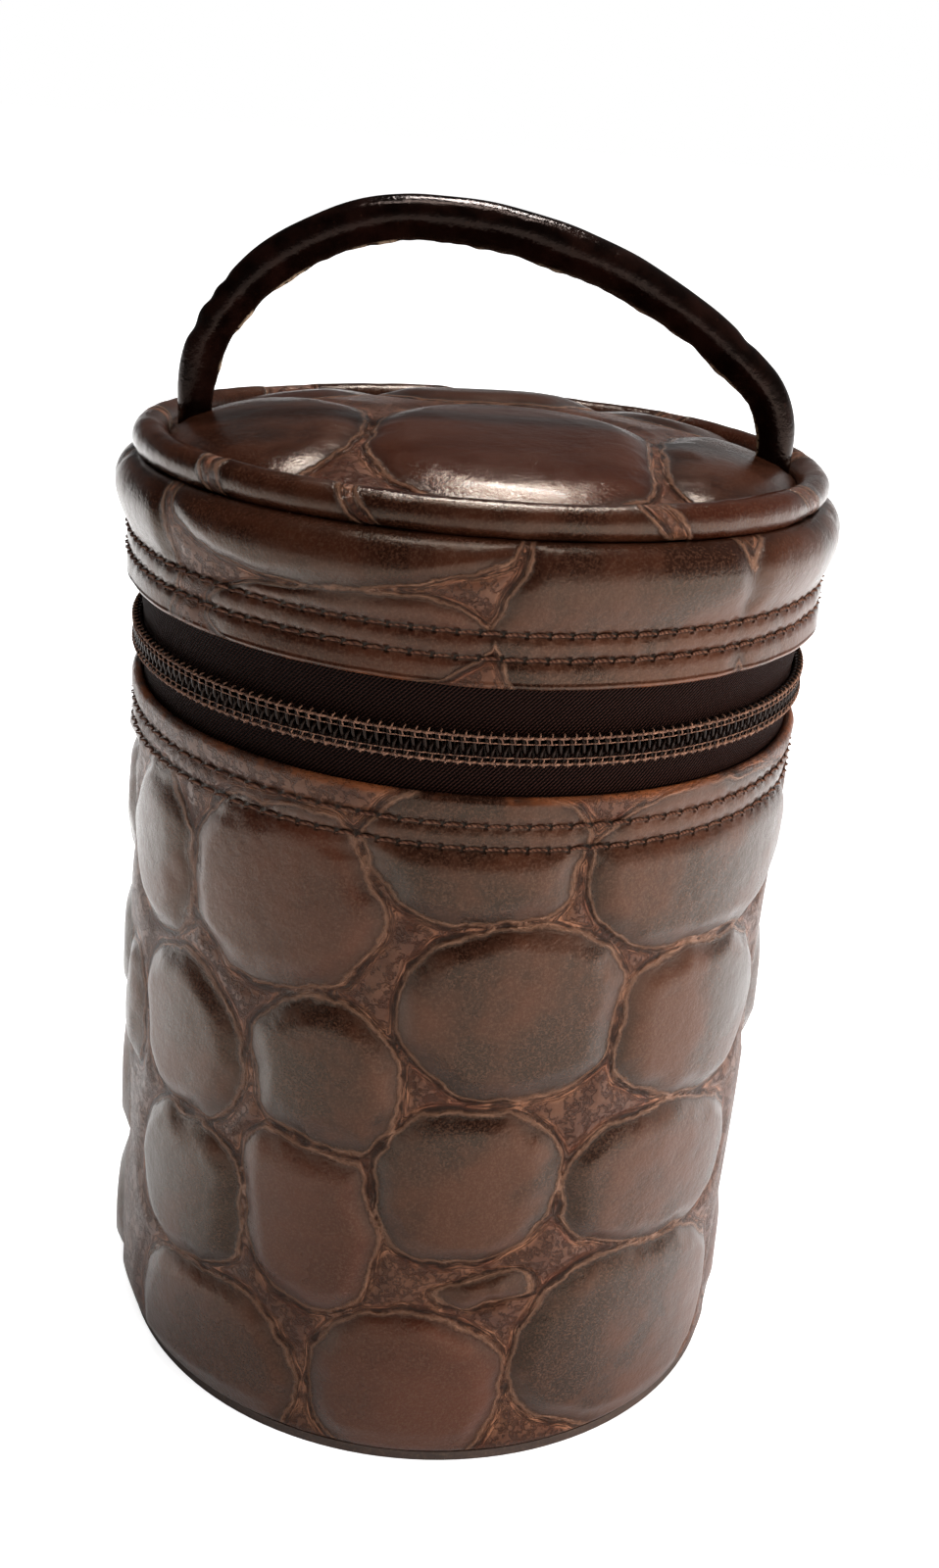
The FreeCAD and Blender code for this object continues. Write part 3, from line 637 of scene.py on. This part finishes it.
twill = tape_twill()
lower_low, lower_high = (p.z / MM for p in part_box("zip_tape_lower"))
upper_low, upper_high = (p.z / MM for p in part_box("zip_tape_upper"))
skirt_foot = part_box("lid_skirt_leather")[0].z / MM
skirt_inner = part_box("zip_tape_upper")[1].x / MM
tape_lower = build_tape("tape_lower", [lower_low, rim_height - 1, lower_high],
                        [tape_face - 0.08, tape_face - 0.08, tape_face])
tape_upper = build_tape("tape_upper", [upper_low, upper_low + 1.6, skirt_foot, upper_high],
                        [tape_face, tape_face + 0.05, skirt_inner - 0.1, skirt_inner - 0.1])
for tape, node, body in ((tape_lower, "zip_tape_lower", "cup"), (tape_upper, "zip_tape_upper", "lid")):
    tape.data.materials.append(twill)
    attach(tape, body)
    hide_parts(node)

# --- Zip coil: a nylon thread wound into flattened turns, each half sewn to its
# tape by two lines of chain stitch; the turns of the halves mesh in between.
coil_pitch = 1.3
coil_wire = 0.2
coil_depth = 0.42
coil_middle = tape_face + 0.62
coil_opening = math.radians(38.0)


def coil_nylon():
    material, tree, shader = node_tree("coil_nylon")
    colour = blend_colours(tree, grain(tree, 700, 2), (0.004, 0.0018, 0.0014), (0.011, 0.005, 0.0036))
    dress(tree, shader, Base_Color=colour, Roughness=0.26, Specular_IOR_Level=0.22,
          Specular_Tint=(1.0, 0.76, 0.62, 1))
    return material


def sewing_cotton():
    material, tree, shader = node_tree("sewing_cotton")
    fuzz = grain(tree, 2600, 4, 0.7)
    colour = blend_colours(tree, remap(tree, fuzz, 0.32, 0.68), (0.03, 0.0105, 0.006), (0.34, 0.165, 0.1))
    dress(tree, shader, fuzz, 0.5, 0.0001, Base_Color=colour, Roughness=0.7)
    return material


def tube_through(points, radius, sides):
    """Vertices and faces of a small tube through points, in order."""
    points = [Vector(p) for p in points]
    verts = []
    for k, point in enumerate(points):
        ahead = points[min(k + 1, len(points) - 1)] - points[max(k - 1, 0)]
        ahead.normalize()
        side = ahead.cross(Vector((0.13, 0.21, 1))).normalized()
        over = ahead.cross(side)
        for j in range(sides):
            spin = 2 * math.pi * j / sides
            verts.append(point + radius * (math.cos(spin) * side + math.sin(spin) * over))
    return verts, tube_faces(len(points), sides)


def shape_of(name, tubes):
    """A small shape of several tubes, (points, radius, sides) each, in mm
    along X (round the cup), Y (inwards is positive) and Z."""
    verts, faces = [], []
    for points, radius, sides in tubes:
        new_verts, new_faces = tube_through(points, radius, sides)
        faces += [tuple(i + len(verts) for i in f) for f in new_faces]
        verts += new_verts
    return mesh_object(name, verts, faces, shown=False)


def coil_turn(up):
    """One flattened turn; up is 1 on the lid's half and -1 on the cup's."""
    points = []
    for k in range(15):
        spin = 2 * math.pi * k / 14
        swell_y = math.copysign(abs(math.sin(spin)) ** 0.7, math.sin(spin))
        swell_z = math.copysign(abs(math.cos(spin)) ** 0.8, math.cos(spin))
        points.append(((k / 14 - 0.5) * coil_pitch * 0.9, -coil_depth * swell_y,
                       up * (0.56 + 1.04 * swell_z)))
    return shape_of(f"coil_turn_{'up' if up > 0 else 'down'}", [(points, coil_wire, 6)])


def chain_stitch(up):
    """The two threads over one turn, with the loop that ties them."""
    half = coil_pitch / 2
    out = -coil_depth - coil_wire - 0.06
    near, far = up * 0.8, up * 1.46
    rows = [([(-half, out + 0.1, near), (0, out - 0.02, near), (half, out + 0.1, near)], 0.065, 5),
            ([(-half, out + 0.22, far), (-0.3, out, far), (0.3, out, far), (half, out + 0.22, far)], 0.14, 5),
            ([(-0.18, out + 0.05, far), (-0.06, out - 0.05, (near + far) / 2),
              (0.0, out + 0.05, near)], 0.09, 5),
            ([(0.1, out + 0.55, up * 1.84), (0.05, out + 0.12, up * 1.76), (0.0, out + 0.02, far)], 0.1, 5)]
    return shape_of(f"chain_stitch_{'up' if up > 0 else 'down'}", rows)


nylon = coil_nylon()
cotton = sewing_cotton()
coil_rows = ring_tree("coil_row", nylon)
cotton_rows = ring_tree("cotton_row", cotton)


def build_coil(name, up, body, node):
    """Half of the chain, from one side of the hinge panel to the other."""
    pitch_turn = coil_pitch / coil_middle
    count = int((2 * math.pi - 2 * coil_opening) / pitch_turn)
    shift = 0 if up > 0 else pitch_turn / 2
    values = dict(Radius=coil_middle * MM, Height=zip_height * MM, Count=count,
                  Start=math.pi / 2 + coil_opening + shift, Sweep=pitch_turn * (count - 1), Size=MM)
    coil = spread(name, coil_rows, Shape=coil_turn(up), **values)
    threads = spread(name + "_sewing", cotton_rows, Shape=chain_stitch(up), **values)
    for piece, slot in ((coil, "coil"), (threads, "thread")):
        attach(piece, body)
    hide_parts(node)


build_coil("coil_lower", -1, "cup", "zip_coil_lower")
build_coil("coil_upper", 1, "lid", "zip_coil_upper")

# --- Lid skirt: the same hide, flat where it is sewn to the zip, swelling over
# soft wadding above and turning in under the piping.
skirt_low, skirt_high = (p.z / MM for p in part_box("lid_skirt_leather"))
skirt_radius = wall_radius + 0.8
skirt_bend = skirt_low + 7.2
lid_rows = [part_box(n)[0].z / MM + 0.25 for n in ("lid_stitch_lower", "lid_stitch_upper")]


def sag(points):
    """The lid settles towards its hinge: its top is lower at the back."""
    share = np.clip((points[..., 2] / MM - skirt_bend) / (skirt_high - skirt_bend), 0, 1)
    lower = 2.8 * share * (points[..., 1] / MM + skirt_radius) / (2 * skirt_radius)
    return np.stack([points[..., 0], points[..., 1], points[..., 2] - lower * MM], -1)


LID_SCALES = [
    (-66, 111.0, 11.5, 12.0, 0), (-22, 119.8, 20.9, 7.6, 3), (-19, 107.4, 16.4, 4.6, 4),
    (25.0, 111.0, 14.6, 13.0, 0), (62, 111.0, 13.6, 12.0, 4),
    (92, 113, 11.0, 11.0, 8), (122, 110, 12.0, 12.0, -6), (154, 112, 12.0, 11.0, 5),
    (187, 111, 13.0, 12.0, 0), (220, 112, 12.5, 12.0, -8), (252, 111, 12.0, 12.0, 6),
    (273, 111, 6.0, 12.0, 0),
]


def build_skirt():
    steps = 480
    angles = np.arange(steps) * 360 / steps
    lap = 2 * math.pi * skirt_radius
    scales = [(math.radians(a) * skirt_radius, *rest) for a, *rest in LID_SCALES]

    hem = np.linspace(math.pi, 2 * math.pi, 9)
    straight = np.linspace(skirt_low + 0.7, skirt_bend, 22)
    rise = np.linspace(0, math.pi / 2, 16)[1:]
    swell_r = skirt_radius + 1.0 * np.sin(rise) ** 1.3
    swell_z = skirt_bend + 4.6 * rise / (math.pi / 2)
    tuck = np.linspace(0, math.pi / 2, 20)[1:]
    tuck_r = skirt_radius + 1.0 - 2.6 * (1 - np.cos(tuck))
    tuck_z = skirt_bend + 4.6 + (skirt_high - skirt_bend - 4.6) * np.sin(tuck)
    inner_r = np.array([40.4, 36.6, 36.6, 40.2, 41.0, 42.2, skirt_radius - leather_thick])
    inner_z = np.array([118.3, 118.3, 117.0, 117.0, 116.4, 113.6, skirt_bend])
    radius = np.concatenate([skirt_radius - 0.7 + 0.7 * np.cos(hem), np.full(straight.size, skirt_radius),
                             swell_r, tuck_r, inner_r])
    height = np.concatenate([skirt_low + 0.7 + 0.7 * np.sin(hem), straight, swell_z, tuck_z, inner_z])
    outside = np.concatenate([np.clip((hem - math.pi) / 1.6, 0, 1), np.ones(straight.size + swell_r.size),
                              np.linspace(1, 0.1, tuck_r.size), np.zeros(inner_r.size)])

    base = around_axis(radius, height, angles) / MM
    around_mm = np.radians(angles)[None, :] * skirt_radius
    across = around_mm + wander(base, 8.0, 1.4, 31) + wander(base, 3.0, 0.4, 32)
    up = height[:, None] + wander(base, 9.0, 1.0, 33)
    edge, owner = furrow_distance(across, up, scales, lap)
    banded = np.clip((lid_rows[1] + 2.0 - height[:, None]) / 2.0, 0, 1)
    edge = edge + 0.75 + 0.9 * banded - np.abs(wander(base, 5.0, 0.9, 37))
    relief = (scale_height(edge, 0.95, 3.2) - 0.55) * (1 - 0.8 * banded)
    relief = relief + wander(base, 24.0, 0.55, 35)
    pull, seam = stitch_channel(height[:, None], around_mm, lid_rows, lap / STITCHES, 0.5)
    relief = relief - pull
    relief = relief + wander(base, 4.0, 0.12, 36) * banded
    shaped = radius[:, None] + relief * outside[:, None]
    rings = around_axis(shaped, height[:, None], angles)
    burnish = np.clip((skirt_low + 0.6 - height[:, None]) / 0.6, 0, 0.35) * np.ones(steps)
    tone = scale_tones(owner, len(scales), 40)
    # The skirt grows glossier towards its top, and its colour there is darkened with painted shade.
    gloss_and_shade = np.clip((height[:, None] - skirt_bend) / 4.0, 0, 0.8) * np.ones(steps)
    return turned_mesh("lid_skirt", sag(rings), True,
                       {"edge": edge, "tone": tone, "burnish": burnish, "seam": seam, "gloss_and_shade": gloss_and_shade})


skirt = build_skirt()
skirt.data.materials.append(hide)
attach(skirt, "lid")
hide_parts("lid_skirt_leather")
for level in ("lower", "upper"):
    stitch_row(f"lid_stitches_{level}", f"lid_stitch_{level}", skirt_radius - 0.42, "lid")

# --- Lid top: hide stretched over foam into a low dome, sewn down at its edge
# behind a fat piping of the same hide that hides the seam.
piping_low, piping_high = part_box("lid_piping_leather")
piping_tube = (piping_high.z - piping_low.z) / 2 / MM
piping_radius = piping_high.x / MM - piping_tube
piping_level = (piping_high.z + piping_low.z) / 2 / MM
dome_low, dome_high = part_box("lid_top_leather")
dome_radius = dome_high.x / MM
dome_peak = dome_high.z / MM
dome_foot = dome_low.z / MM

# Each scale is (x, y, half width, half depth, lean), in mm, seen from above.
DOME_SCALES = [
    (3.4, -16.0, 17.4, 22.4, 0), (-27.5, -12, 14.2, 21.0, 8), (31.0, -11, 11.4, 20.5, -8),
    (0, 23, 15.5, 15.0, 0), (-25, 21, 10.5, 13.0, -30), (25, 22, 11.0, 13.0, 30),
]
PIPING_SCALES = [(-64, 0, 16.5, 9, 0), (-31, 0, 10.0, 9, 0), (5, 0, 16.6, 9, 0), (46, 0, 12.5, 9, 0),
                 (82, 0, 12.0, 9, 0), (120, 0, 14.5, 9, 0), (165, 0, 16.0, 9, 0), (205, 0, 12.0, 9, 0),
                 (252, 0, 16.5, 9, 0)]


def build_dome():
    steps = 360
    angles = np.arange(steps) * 360 / steps
    out = np.concatenate([[0.004], np.linspace(0.02, 1, 64)])
    rise = dome_peak - dome_foot - 0.6
    under = np.linspace(0.97, 0.004, 10)
    radius = np.concatenate([out * dome_radius, [dome_radius, dome_radius - 1.2],
                             under * (dome_radius - 1.2)])
    height = np.concatenate([dome_foot + 1.9 + (rise - 0.6) * (1 - out ** 2.6) ** 0.9,
                             [dome_foot, dome_foot],
                             dome_foot + 0.3 + (rise - 1.2) * (1 - under ** 2.3)])
    radius, height = radius[::-1], height[::-1]
    top = np.concatenate([np.zeros(12), np.ones(out.size)])
    taper = np.concatenate([np.zeros(12), np.clip((1 - out[::-1]) / 0.06, 0, 1)])
    base = around_axis(radius, height, angles) / MM
    across = base[..., 0] + wander(base, 9.0, 1.2, 51) + wander(base, 3.0, 0.3, 52)
    up = base[..., 1] + wander(base, 9.0, 1.2, 53)
    edge, owner = furrow_distance(across, up, DOME_SCALES, 1e6)
    edge = edge - 0.3
    relief = (scale_height(edge, 1.15, 5.5) - 0.5) * taper[:, None]
    relief = relief + wander(base, 16.0, 0.4, 55) * taper[:, None]
    lifted = np.repeat(height[:, None], steps, 1) + relief * top[:, None]
    rings = around_axis(np.repeat(radius[:, None], steps, 1), lifted, angles)
    tone = scale_tones(owner, len(DOME_SCALES), 70)
    return turned_mesh("lid_dome", sag(rings), True,
                       {"edge": edge - 0.45, "tone": tone, "gloss_and_shade": np.ones(edge.shape)})


def build_piping():
    steps = 480
    angles = np.arange(steps) * 360 / steps
    spin = np.linspace(0, 2 * math.pi, 25)[:-1]
    radius = piping_radius + piping_tube * np.cos(spin)
    height = piping_level + piping_tube * np.sin(spin)
    base = around_axis(radius, height, angles) / MM
    lap = 2 * math.pi * wall_radius
    scales = [(math.radians(a) * wall_radius, *rest) for a, *rest in PIPING_SCALES]
    around_mm = np.radians(angles)[None, :] * wall_radius + np.zeros((spin.size, 1))
    slant = 1.6 * np.sin(spin)[:, None]
    edge, owner = furrow_distance(around_mm + slant + wander(base, 7.0, 1.6, 61),
                                  np.zeros(around_mm.shape), scales, lap)
    edge = edge - 0.4
    swell = wander(base, 14.0, 0.3, 62) + wander(base, 3.5, 0.1, 63) - 0.1 * np.clip(1 - edge, 0, 1)
    shaped = piping_radius + (piping_tube + swell) * np.cos(spin)[:, None]
    lifted = piping_level + (piping_tube + swell) * np.sin(spin)[:, None]
    tone = scale_tones(owner, len(scales), 90)
    return turned_mesh("lid_piping", sag(around_axis(shaped, lifted, angles)), True,
                       {"edge": edge - 0.3, "tone": tone, "gloss_and_shade": np.ones(edge.shape)})


dome = build_dome()
dome.data.materials.append(hide)
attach(dome, "lid")
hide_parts("lid_top_leather", "lid_padding")
piping = build_piping()
piping.data.materials.append(hide)
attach(piping, "lid")
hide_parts("lid_piping_leather", "lid_piping_cord")

# --- Handle: a strip of hide rolled round a cord, its edges sewn together in a
# narrow flange along the inside of the arch, and tucked into the lid's seam.
root_low, root_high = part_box("handle_roots")
core_low, core_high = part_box("handle_core")
handle_radius = (root_high.y - root_low.y) / 2 / MM
half_span = root_high.x / MM - handle_radius
pivot_height = core_low.z / MM
arch_top = core_high.z / MM - 1.5
apex_offset = -8.0
shoulders = {-1: 18.0, 1: 10.0}
# Each fold is (mm along the strap from its left end, depth, width), in mm.
HANDLE_FOLDS = [(13.5, 0.42, 1.1), (17.0, 0.3, 0.8), (19.6, 0.22, 0.7), (85.0, 0.2, 1.0)]


def handle_line(step):
    """Points about step mm apart along the arch, from the left root to the
    right one: upright, round a shoulder, and level at the apex."""
    halves = {}
    for side, shoulder in shoulders.items():
        run = abs(side * half_span - apex_offset) - shoulder
        rise = arch_top - pivot_height
        crown = (run ** 2 + rise ** 2 - shoulder ** 2) / (2 * (rise - shoulder))
        near = Vector((side * (half_span - shoulder), 0, pivot_height))
        far = Vector((apex_offset, 0, arch_top - crown))
        spoke = (near - far).normalized()
        bend = math.atan2(spoke.z, abs(spoke.x))
        low = [near + shoulder * Vector((side * math.cos(t), 0, math.sin(t)))
               for t in np.linspace(0, bend, max(3, int(shoulder * bend / step)))]
        left = math.pi / 2 - bend
        high = [far + crown * Vector((side * math.cos(t), 0, math.sin(t)))
                for t in np.linspace(bend, math.pi / 2, int(crown * left / step))[1:]]
        root = [Vector((side * half_span, 0, z))
                for z in np.arange(root_low.z / MM + 0.2, pivot_height, step)]
        halves[side] = root + low + high
    return halves[-1] + halves[1][::-1][1:]


def build_handle():
    line = np.array([tuple(p) for p in handle_line(0.45)])
    count, sides = len(line), 28
    ahead = np.gradient(line, axis=0)
    ahead /= np.linalg.norm(ahead, axis=1)[:, None]
    outward = np.stack([-ahead[:, 2], np.zeros(count), ahead[:, 0]], 1)
    spin = np.linspace(0, 2 * math.pi, sides + 1)[:-1]
    travel = np.concatenate([[0], np.cumsum(np.linalg.norm(np.diff(line, axis=0), axis=1))])
    seam = spin - math.pi - 0.25
    flange = np.exp(-((seam / 0.3) ** 2))
    ragged = np.array([noise.noise(Vector((t / 4.6, 4.2, 0))) + 0.35 * noise.noise(Vector((t / 1.4, 1.2, 3)))
                       for t in travel])
    grow = 0.75 + 0.45 * ragged
    ends = np.clip(np.minimum(travel, travel[-1] - travel) / 9.0, 0, 1)
    oval = handle_radius * (1 + 0.03 * np.cos(2 * spin))[None, :]
    section = oval + flange[None, :] * (grow * ends)[:, None]
    dent = np.array([[noise.noise(Vector((t / 7.0, math.cos(s) * 0.8, math.sin(s) * 0.8 + 9)))
                      for s in spin] for t in travel])
    section = section * (1 + 0.07 * dent)
    middle = np.sin(math.pi * travel / travel[-1]) ** 0.6
    section = section * (0.8 + 0.17 * middle)[:, None]
    facing = np.clip(np.cos(spin - 0.4), -0.2, 1)[None, :]
    for place, deep, wide in HANDLE_FOLDS:
        fold = np.exp(-(((travel - place) / wide) ** 2))[:, None] * facing
        section = section - deep * fold
    across = np.array([0.0, 1.0, 0.0])
    points = (line[:, None, :] + section[..., None] * (np.cos(spin)[None, :, None] * outward[:, None, :]
              + np.sin(spin)[None, :, None] * across[None, None, :]))
    index = np.arange(count * sides).reshape(count, sides)
    ahead_ring = np.roll(index, -1, axis=1)
    quads = np.stack([index[:-1], index[1:], ahead_ring[1:], ahead_ring[:-1]], -1).reshape(-1, 4).tolist()
    quads.append(index[0].tolist())
    quads.append(index[-1][::-1].tolist())
    # Where the flange's cut edge shows, it is paler leather with a painted glint along it.
    bared_and_glinting = np.clip(0.5 + ragged * 1.6, 0, 1)[:, None]
    cut_edge = np.exp(-((seam / 0.13) ** 2))[None, :] * bared_and_glinting
    return mesh_object("handle_strap", (points.reshape(-1, 3) * MM).tolist(), quads, {"cut_edge": cut_edge})


def strap_leather():
    """Nearly black glazed hide, creased across where the strap is bent."""
    material, tree, shader = node_tree("strap_leather")
    cloudy = grain(tree, 240, 4, 0.6)
    fine = grain(tree, 1700, 4, 0.65)
    colour = blend_colours(tree, remap(tree, cloudy, 0.4, 0.68), (0.002, 0.0008, 0.0006),
                           (0.0085, 0.0028, 0.0019))
    colour = blend_colours(tree, remap(tree, fine, 0.62, 0.8, 0.0, 0.5), colour, (0.045, 0.016, 0.009))
    cut_edge = add(tree, "ShaderNodeAttribute", attribute_name="cut_edge").outputs["Fac"]
    # The flange's edge is paler leather with a painted glint along it.
    pale_edge_and_glint = times(tree, remap(tree, cut_edge, 0.2, 0.7), remap(tree, fine, 0.38, 0.52))
    colour = blend_colours(tree, pale_edge_and_glint, colour, (0.42, 0.3, 0.2))
    height = plus(tree, fine, 0.3, grain(tree, 560, 4, 0.65))
    dress(tree, shader, height, 0.5, 0.00024, Base_Color=colour, Specular_IOR_Level=0.26,
          Roughness=remap(tree, cloudy, 0.3, 0.7, 0.09, 0.17), Specular_Tint=(1.0, 0.7, 0.58, 1))
    return material


handle = build_handle()
handle.data.materials.append(strap_leather())
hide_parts("handle_leather", "handle_core", "handle_roots")
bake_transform(handle)

# --- Hinge: a panel of the same hide that closes the back between cup and lid, over a fabric gusset.
panel_low, panel_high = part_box("hinge_panel")
panel_half = 36.0


def build_panel():
    angles = np.linspace(180 - panel_half, 180 + panel_half, 150)
    level = np.linspace(panel_low.z / MM, panel_high.z / MM, 40)
    share = (level - level[0]) / (level[-1] - level[0])
    outer = wall_radius + 0.8 * share + 0.5 * np.sin(math.pi * share)
    radius = np.concatenate([outer, (outer - 1.2)[::-1]])
    height = np.concatenate([level, level[::-1]])
    outside = np.concatenate([np.ones(level.size), np.zeros(level.size)])
    base = around_axis(radius, height, angles) / MM
    around_mm = np.radians(angles)[None, :] * wall_radius
    scales = [(math.radians(a) * wall_radius, 96.5, 8.2, 6.6, lean)
              for a, lean in ((154, 6), (180, -5), (206, 4))]
    up = height[:, None] + wander(base, 7.0, 0.8, 82)
    edge, owner = furrow_distance(around_mm + wander(base, 7.0, 1.0, 81), up, scales,
                                  2 * math.pi * wall_radius)
    flatter = np.sin(math.pi * np.concatenate([share, share[::-1]]))[:, None] ** 0.5
    relief = (scale_height(edge, 0.6, 2.4) - 0.3) * flatter
    shaped = radius[:, None] + relief * outside[:, None]
    rings = around_axis(shaped, height[:, None], angles)
    return turned_mesh("hinge_leather", rings, False,
                       {"edge": edge, "tone": np.zeros(edge.shape), "burnish": np.zeros(edge.shape)})


def build_gusset():
    angles = np.linspace(180 - tape_opening, 180 + tape_opening, 120)
    level = np.linspace(lower_low, upper_high, 70)
    outer = np.interp(level, [lower_low, rim_height, skirt_foot, upper_high],
                      [tape_face - 0.1, tape_face - 0.1, skirt_inner - 0.35, skirt_inner - 0.35])
    radius = np.concatenate([outer, (outer - 0.4)[::-1]])
    height = np.concatenate([level, level[::-1]])
    return turned_mesh("hinge_cloth", around_axis(radius, height, angles), False)


panel = build_panel()
panel.data.materials.append(hide)
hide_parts("hinge_panel")
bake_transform(panel)
gusset = build_gusset()
gusset.data.materials.append(cloth)
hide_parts("hinge_gusset")
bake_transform(gusset)

# --- Slider and pull: cast metal with an antique finish, in dark and rubbed bright patches.


def antique_metal():
    material, tree, shader = node_tree("antique_metal")
    tarnish = grain(tree, 330, 5, 0.7)
    colour = blend_colours(tree, remap(tree, tarnish, 0.35, 0.68), (0.07, 0.048, 0.027), (0.21, 0.148, 0.084))
    dress(tree, shader, Base_Color=colour, Metallic=1.0, Roughness=remap(tree, tarnish, 0.3, 0.7, 0.5, 0.28))
    return material


metal = antique_metal()
repaint("slider_body", metal)
repaint("pull_tab", metal)
hidden = lining_cloth("skirt_wadding", (0.5, 0.47, 0.4), (0.62, 0.58, 0.5), 3000, 1.0)
repaint("lid_wadding", hidden)

# --- Stage: a white table that keeps a faint shadow, soft light from above and
# the right, and a camera a little above the lid that looks down at the front.


def build_floor():
    mesh = bpy.data.meshes.new("floor")
    reach = 4.0
    mesh.from_pydata([(-reach, -reach, 0), (reach, -reach, 0), (reach, reach, 0), (-reach, reach, 0)],
                     [], [(0, 1, 2, 3)])
    floor = bpy.data.objects.new("floor", mesh)
    bpy.context.scene.collection.objects.link(floor)
    material, tree, shader = node_tree("white_table")
    path = add(tree, "ShaderNodeLightPath")
    place = add(tree, "ShaderNodeTexCoord").outputs["Object"]
    parts = add(tree, "ShaderNodeSeparateXYZ", in0=place)
    far = add(tree, "ShaderNodeVectorMath", operation="LENGTH", in0=place).outputs["Value"]
    # Painted reflection: the table glows only in reflections, brighter towards the right and in a patch at
    # the back left, and so lays a sheen on the leather.
    left = times(tree, remap(tree, parts.outputs[0], -0.04, -0.13, 0.0, 1.1),
                     remap(tree, parts.outputs[1], -0.16, 0.0))
    right = remap(tree, parts.outputs[0], -0.04, 0.3, 0.06, 1.5)
    reflected_glow_level = math_node(tree, "MINIMUM", math_node(tree, "ADD", right, left), 1.0)
    glow = times(tree, path.outputs["Is Glossy Ray"], reflected_glow_level)
    white = times(tree, path.outputs["Is Camera Ray"], remap(tree, far, 0.25, 1.2, 0.82, 1.0))
    dress(tree, shader, Base_Color=(0.86, 0.86, 0.86, 1), Roughness=0.9, Specular_IOR_Level=0.1,
          Emission_Color=(1, 1, 1, 1), Emission_Strength=math_node(tree, "MAXIMUM", glow, white))
    mesh.materials.append(material)


def soft_light(name, place, target, size, power, shines=False):
    """A softbox; only one that shines leaves its own gleam on the leather."""
    lamp = bpy.data.lights.new(name, "AREA")
    lamp.shape = "RECTANGLE"
    lamp.size, lamp.size_y = size
    lamp.energy = power
    holder = bpy.data.objects.new(name, lamp)
    holder.location = place
    holder.visible_glossy = shines
    holder.rotation_euler = (Vector(target) - Vector(place)).to_track_quat("-Z", "Y").to_euler()
    bpy.context.scene.collection.objects.link(holder)


def build_world():
    world = bpy.data.worlds.new("studio")
    bpy.context.scene.world = world
    world.use_nodes = True
    tree = world.node_tree
    tree.nodes.clear()
    place = add(tree, "ShaderNodeTexCoord").outputs["Generated"]
    parts = add(tree, "ShaderNodeSeparateXYZ", in0=place)
    level = remap(tree, parts.outputs[0], -0.25, 0.9, 0.12, 0.8)
    level = times(tree, level, remap(tree, parts.outputs[2], 0.05, 0.34, 1.0, 0.16))
    path = add(tree, "ShaderNodeLightPath")
    strength = add(tree, "ShaderNodeMix", data_type="FLOAT")
    tree.links.new(path.outputs["Is Camera Ray"], strength.inputs[0])
    tree.links.new(level, strength.inputs[2])
    strength.inputs[3].default_value = 1.0
    sky = add(tree, "ShaderNodeBackground", Color=(1, 1, 1, 1))
    tree.links.new(strength.outputs[0], sky.inputs["Strength"])
    output = add(tree, "ShaderNodeOutputWorld")
    tree.links.new(sky.outputs[0], output.inputs[0])


def build_camera():
    """Placed by its distance and height, its downward tilt and its roll."""
    back, high = 0.2149, 0.1624
    tilt, swing, roll = 0.386, 0.008, -0.083
    ahead = Vector((math.sin(swing) * math.cos(tilt), math.cos(swing) * math.cos(tilt), -math.sin(tilt)))
    right = Vector((math.cos(swing), -math.sin(swing), 0))
    down = ahead.cross(right)
    level_x = math.cos(roll) * right + math.sin(roll) * down
    level_y = -math.sin(roll) * right + math.cos(roll) * down
    lens = bpy.data.cameras.new("camera")
    lens.sensor_fit = "VERTICAL"
    lens.sensor_height = 24.0
    lens.lens = 27.0
    lens.clip_start = 0.01
    camera = bpy.data.objects.new("camera", lens)
    turn = Matrix((level_x, -level_y, -ahead)).transposed()
    camera.matrix_world = Matrix.Translation((0, -back, high)) @ turn.to_4x4()
    bpy.context.scene.collection.objects.link(camera)
    bpy.context.scene.camera = camera


build_floor()
build_world()
soft_light("key", (0.05, 0.42, 1.05), (0, 0, 0.1), (0.34, 0.1), 9.5, shines=True)
soft_light("strip", (0.0, -0.06, 1.2), (0, 0, 0.1), (0.6, 0.12), 3.6, shines=True)
soft_light("fill", (-0.3, -0.9, 0.7), (0, 0, 0.08), (0.5, 0.4), 1.2)
soft_light("side", (1.3, -0.35, 0.2), (0, 0, 0.08), (1.5, 0.5), 30.0)
soft_light("ceiling", (0.2, -0.7, 1.5), (0, 0, 0.05), (1.2, 1.0), 5.5)
build_camera()
bpy.context.scene.view_settings.view_transform = "Standard"
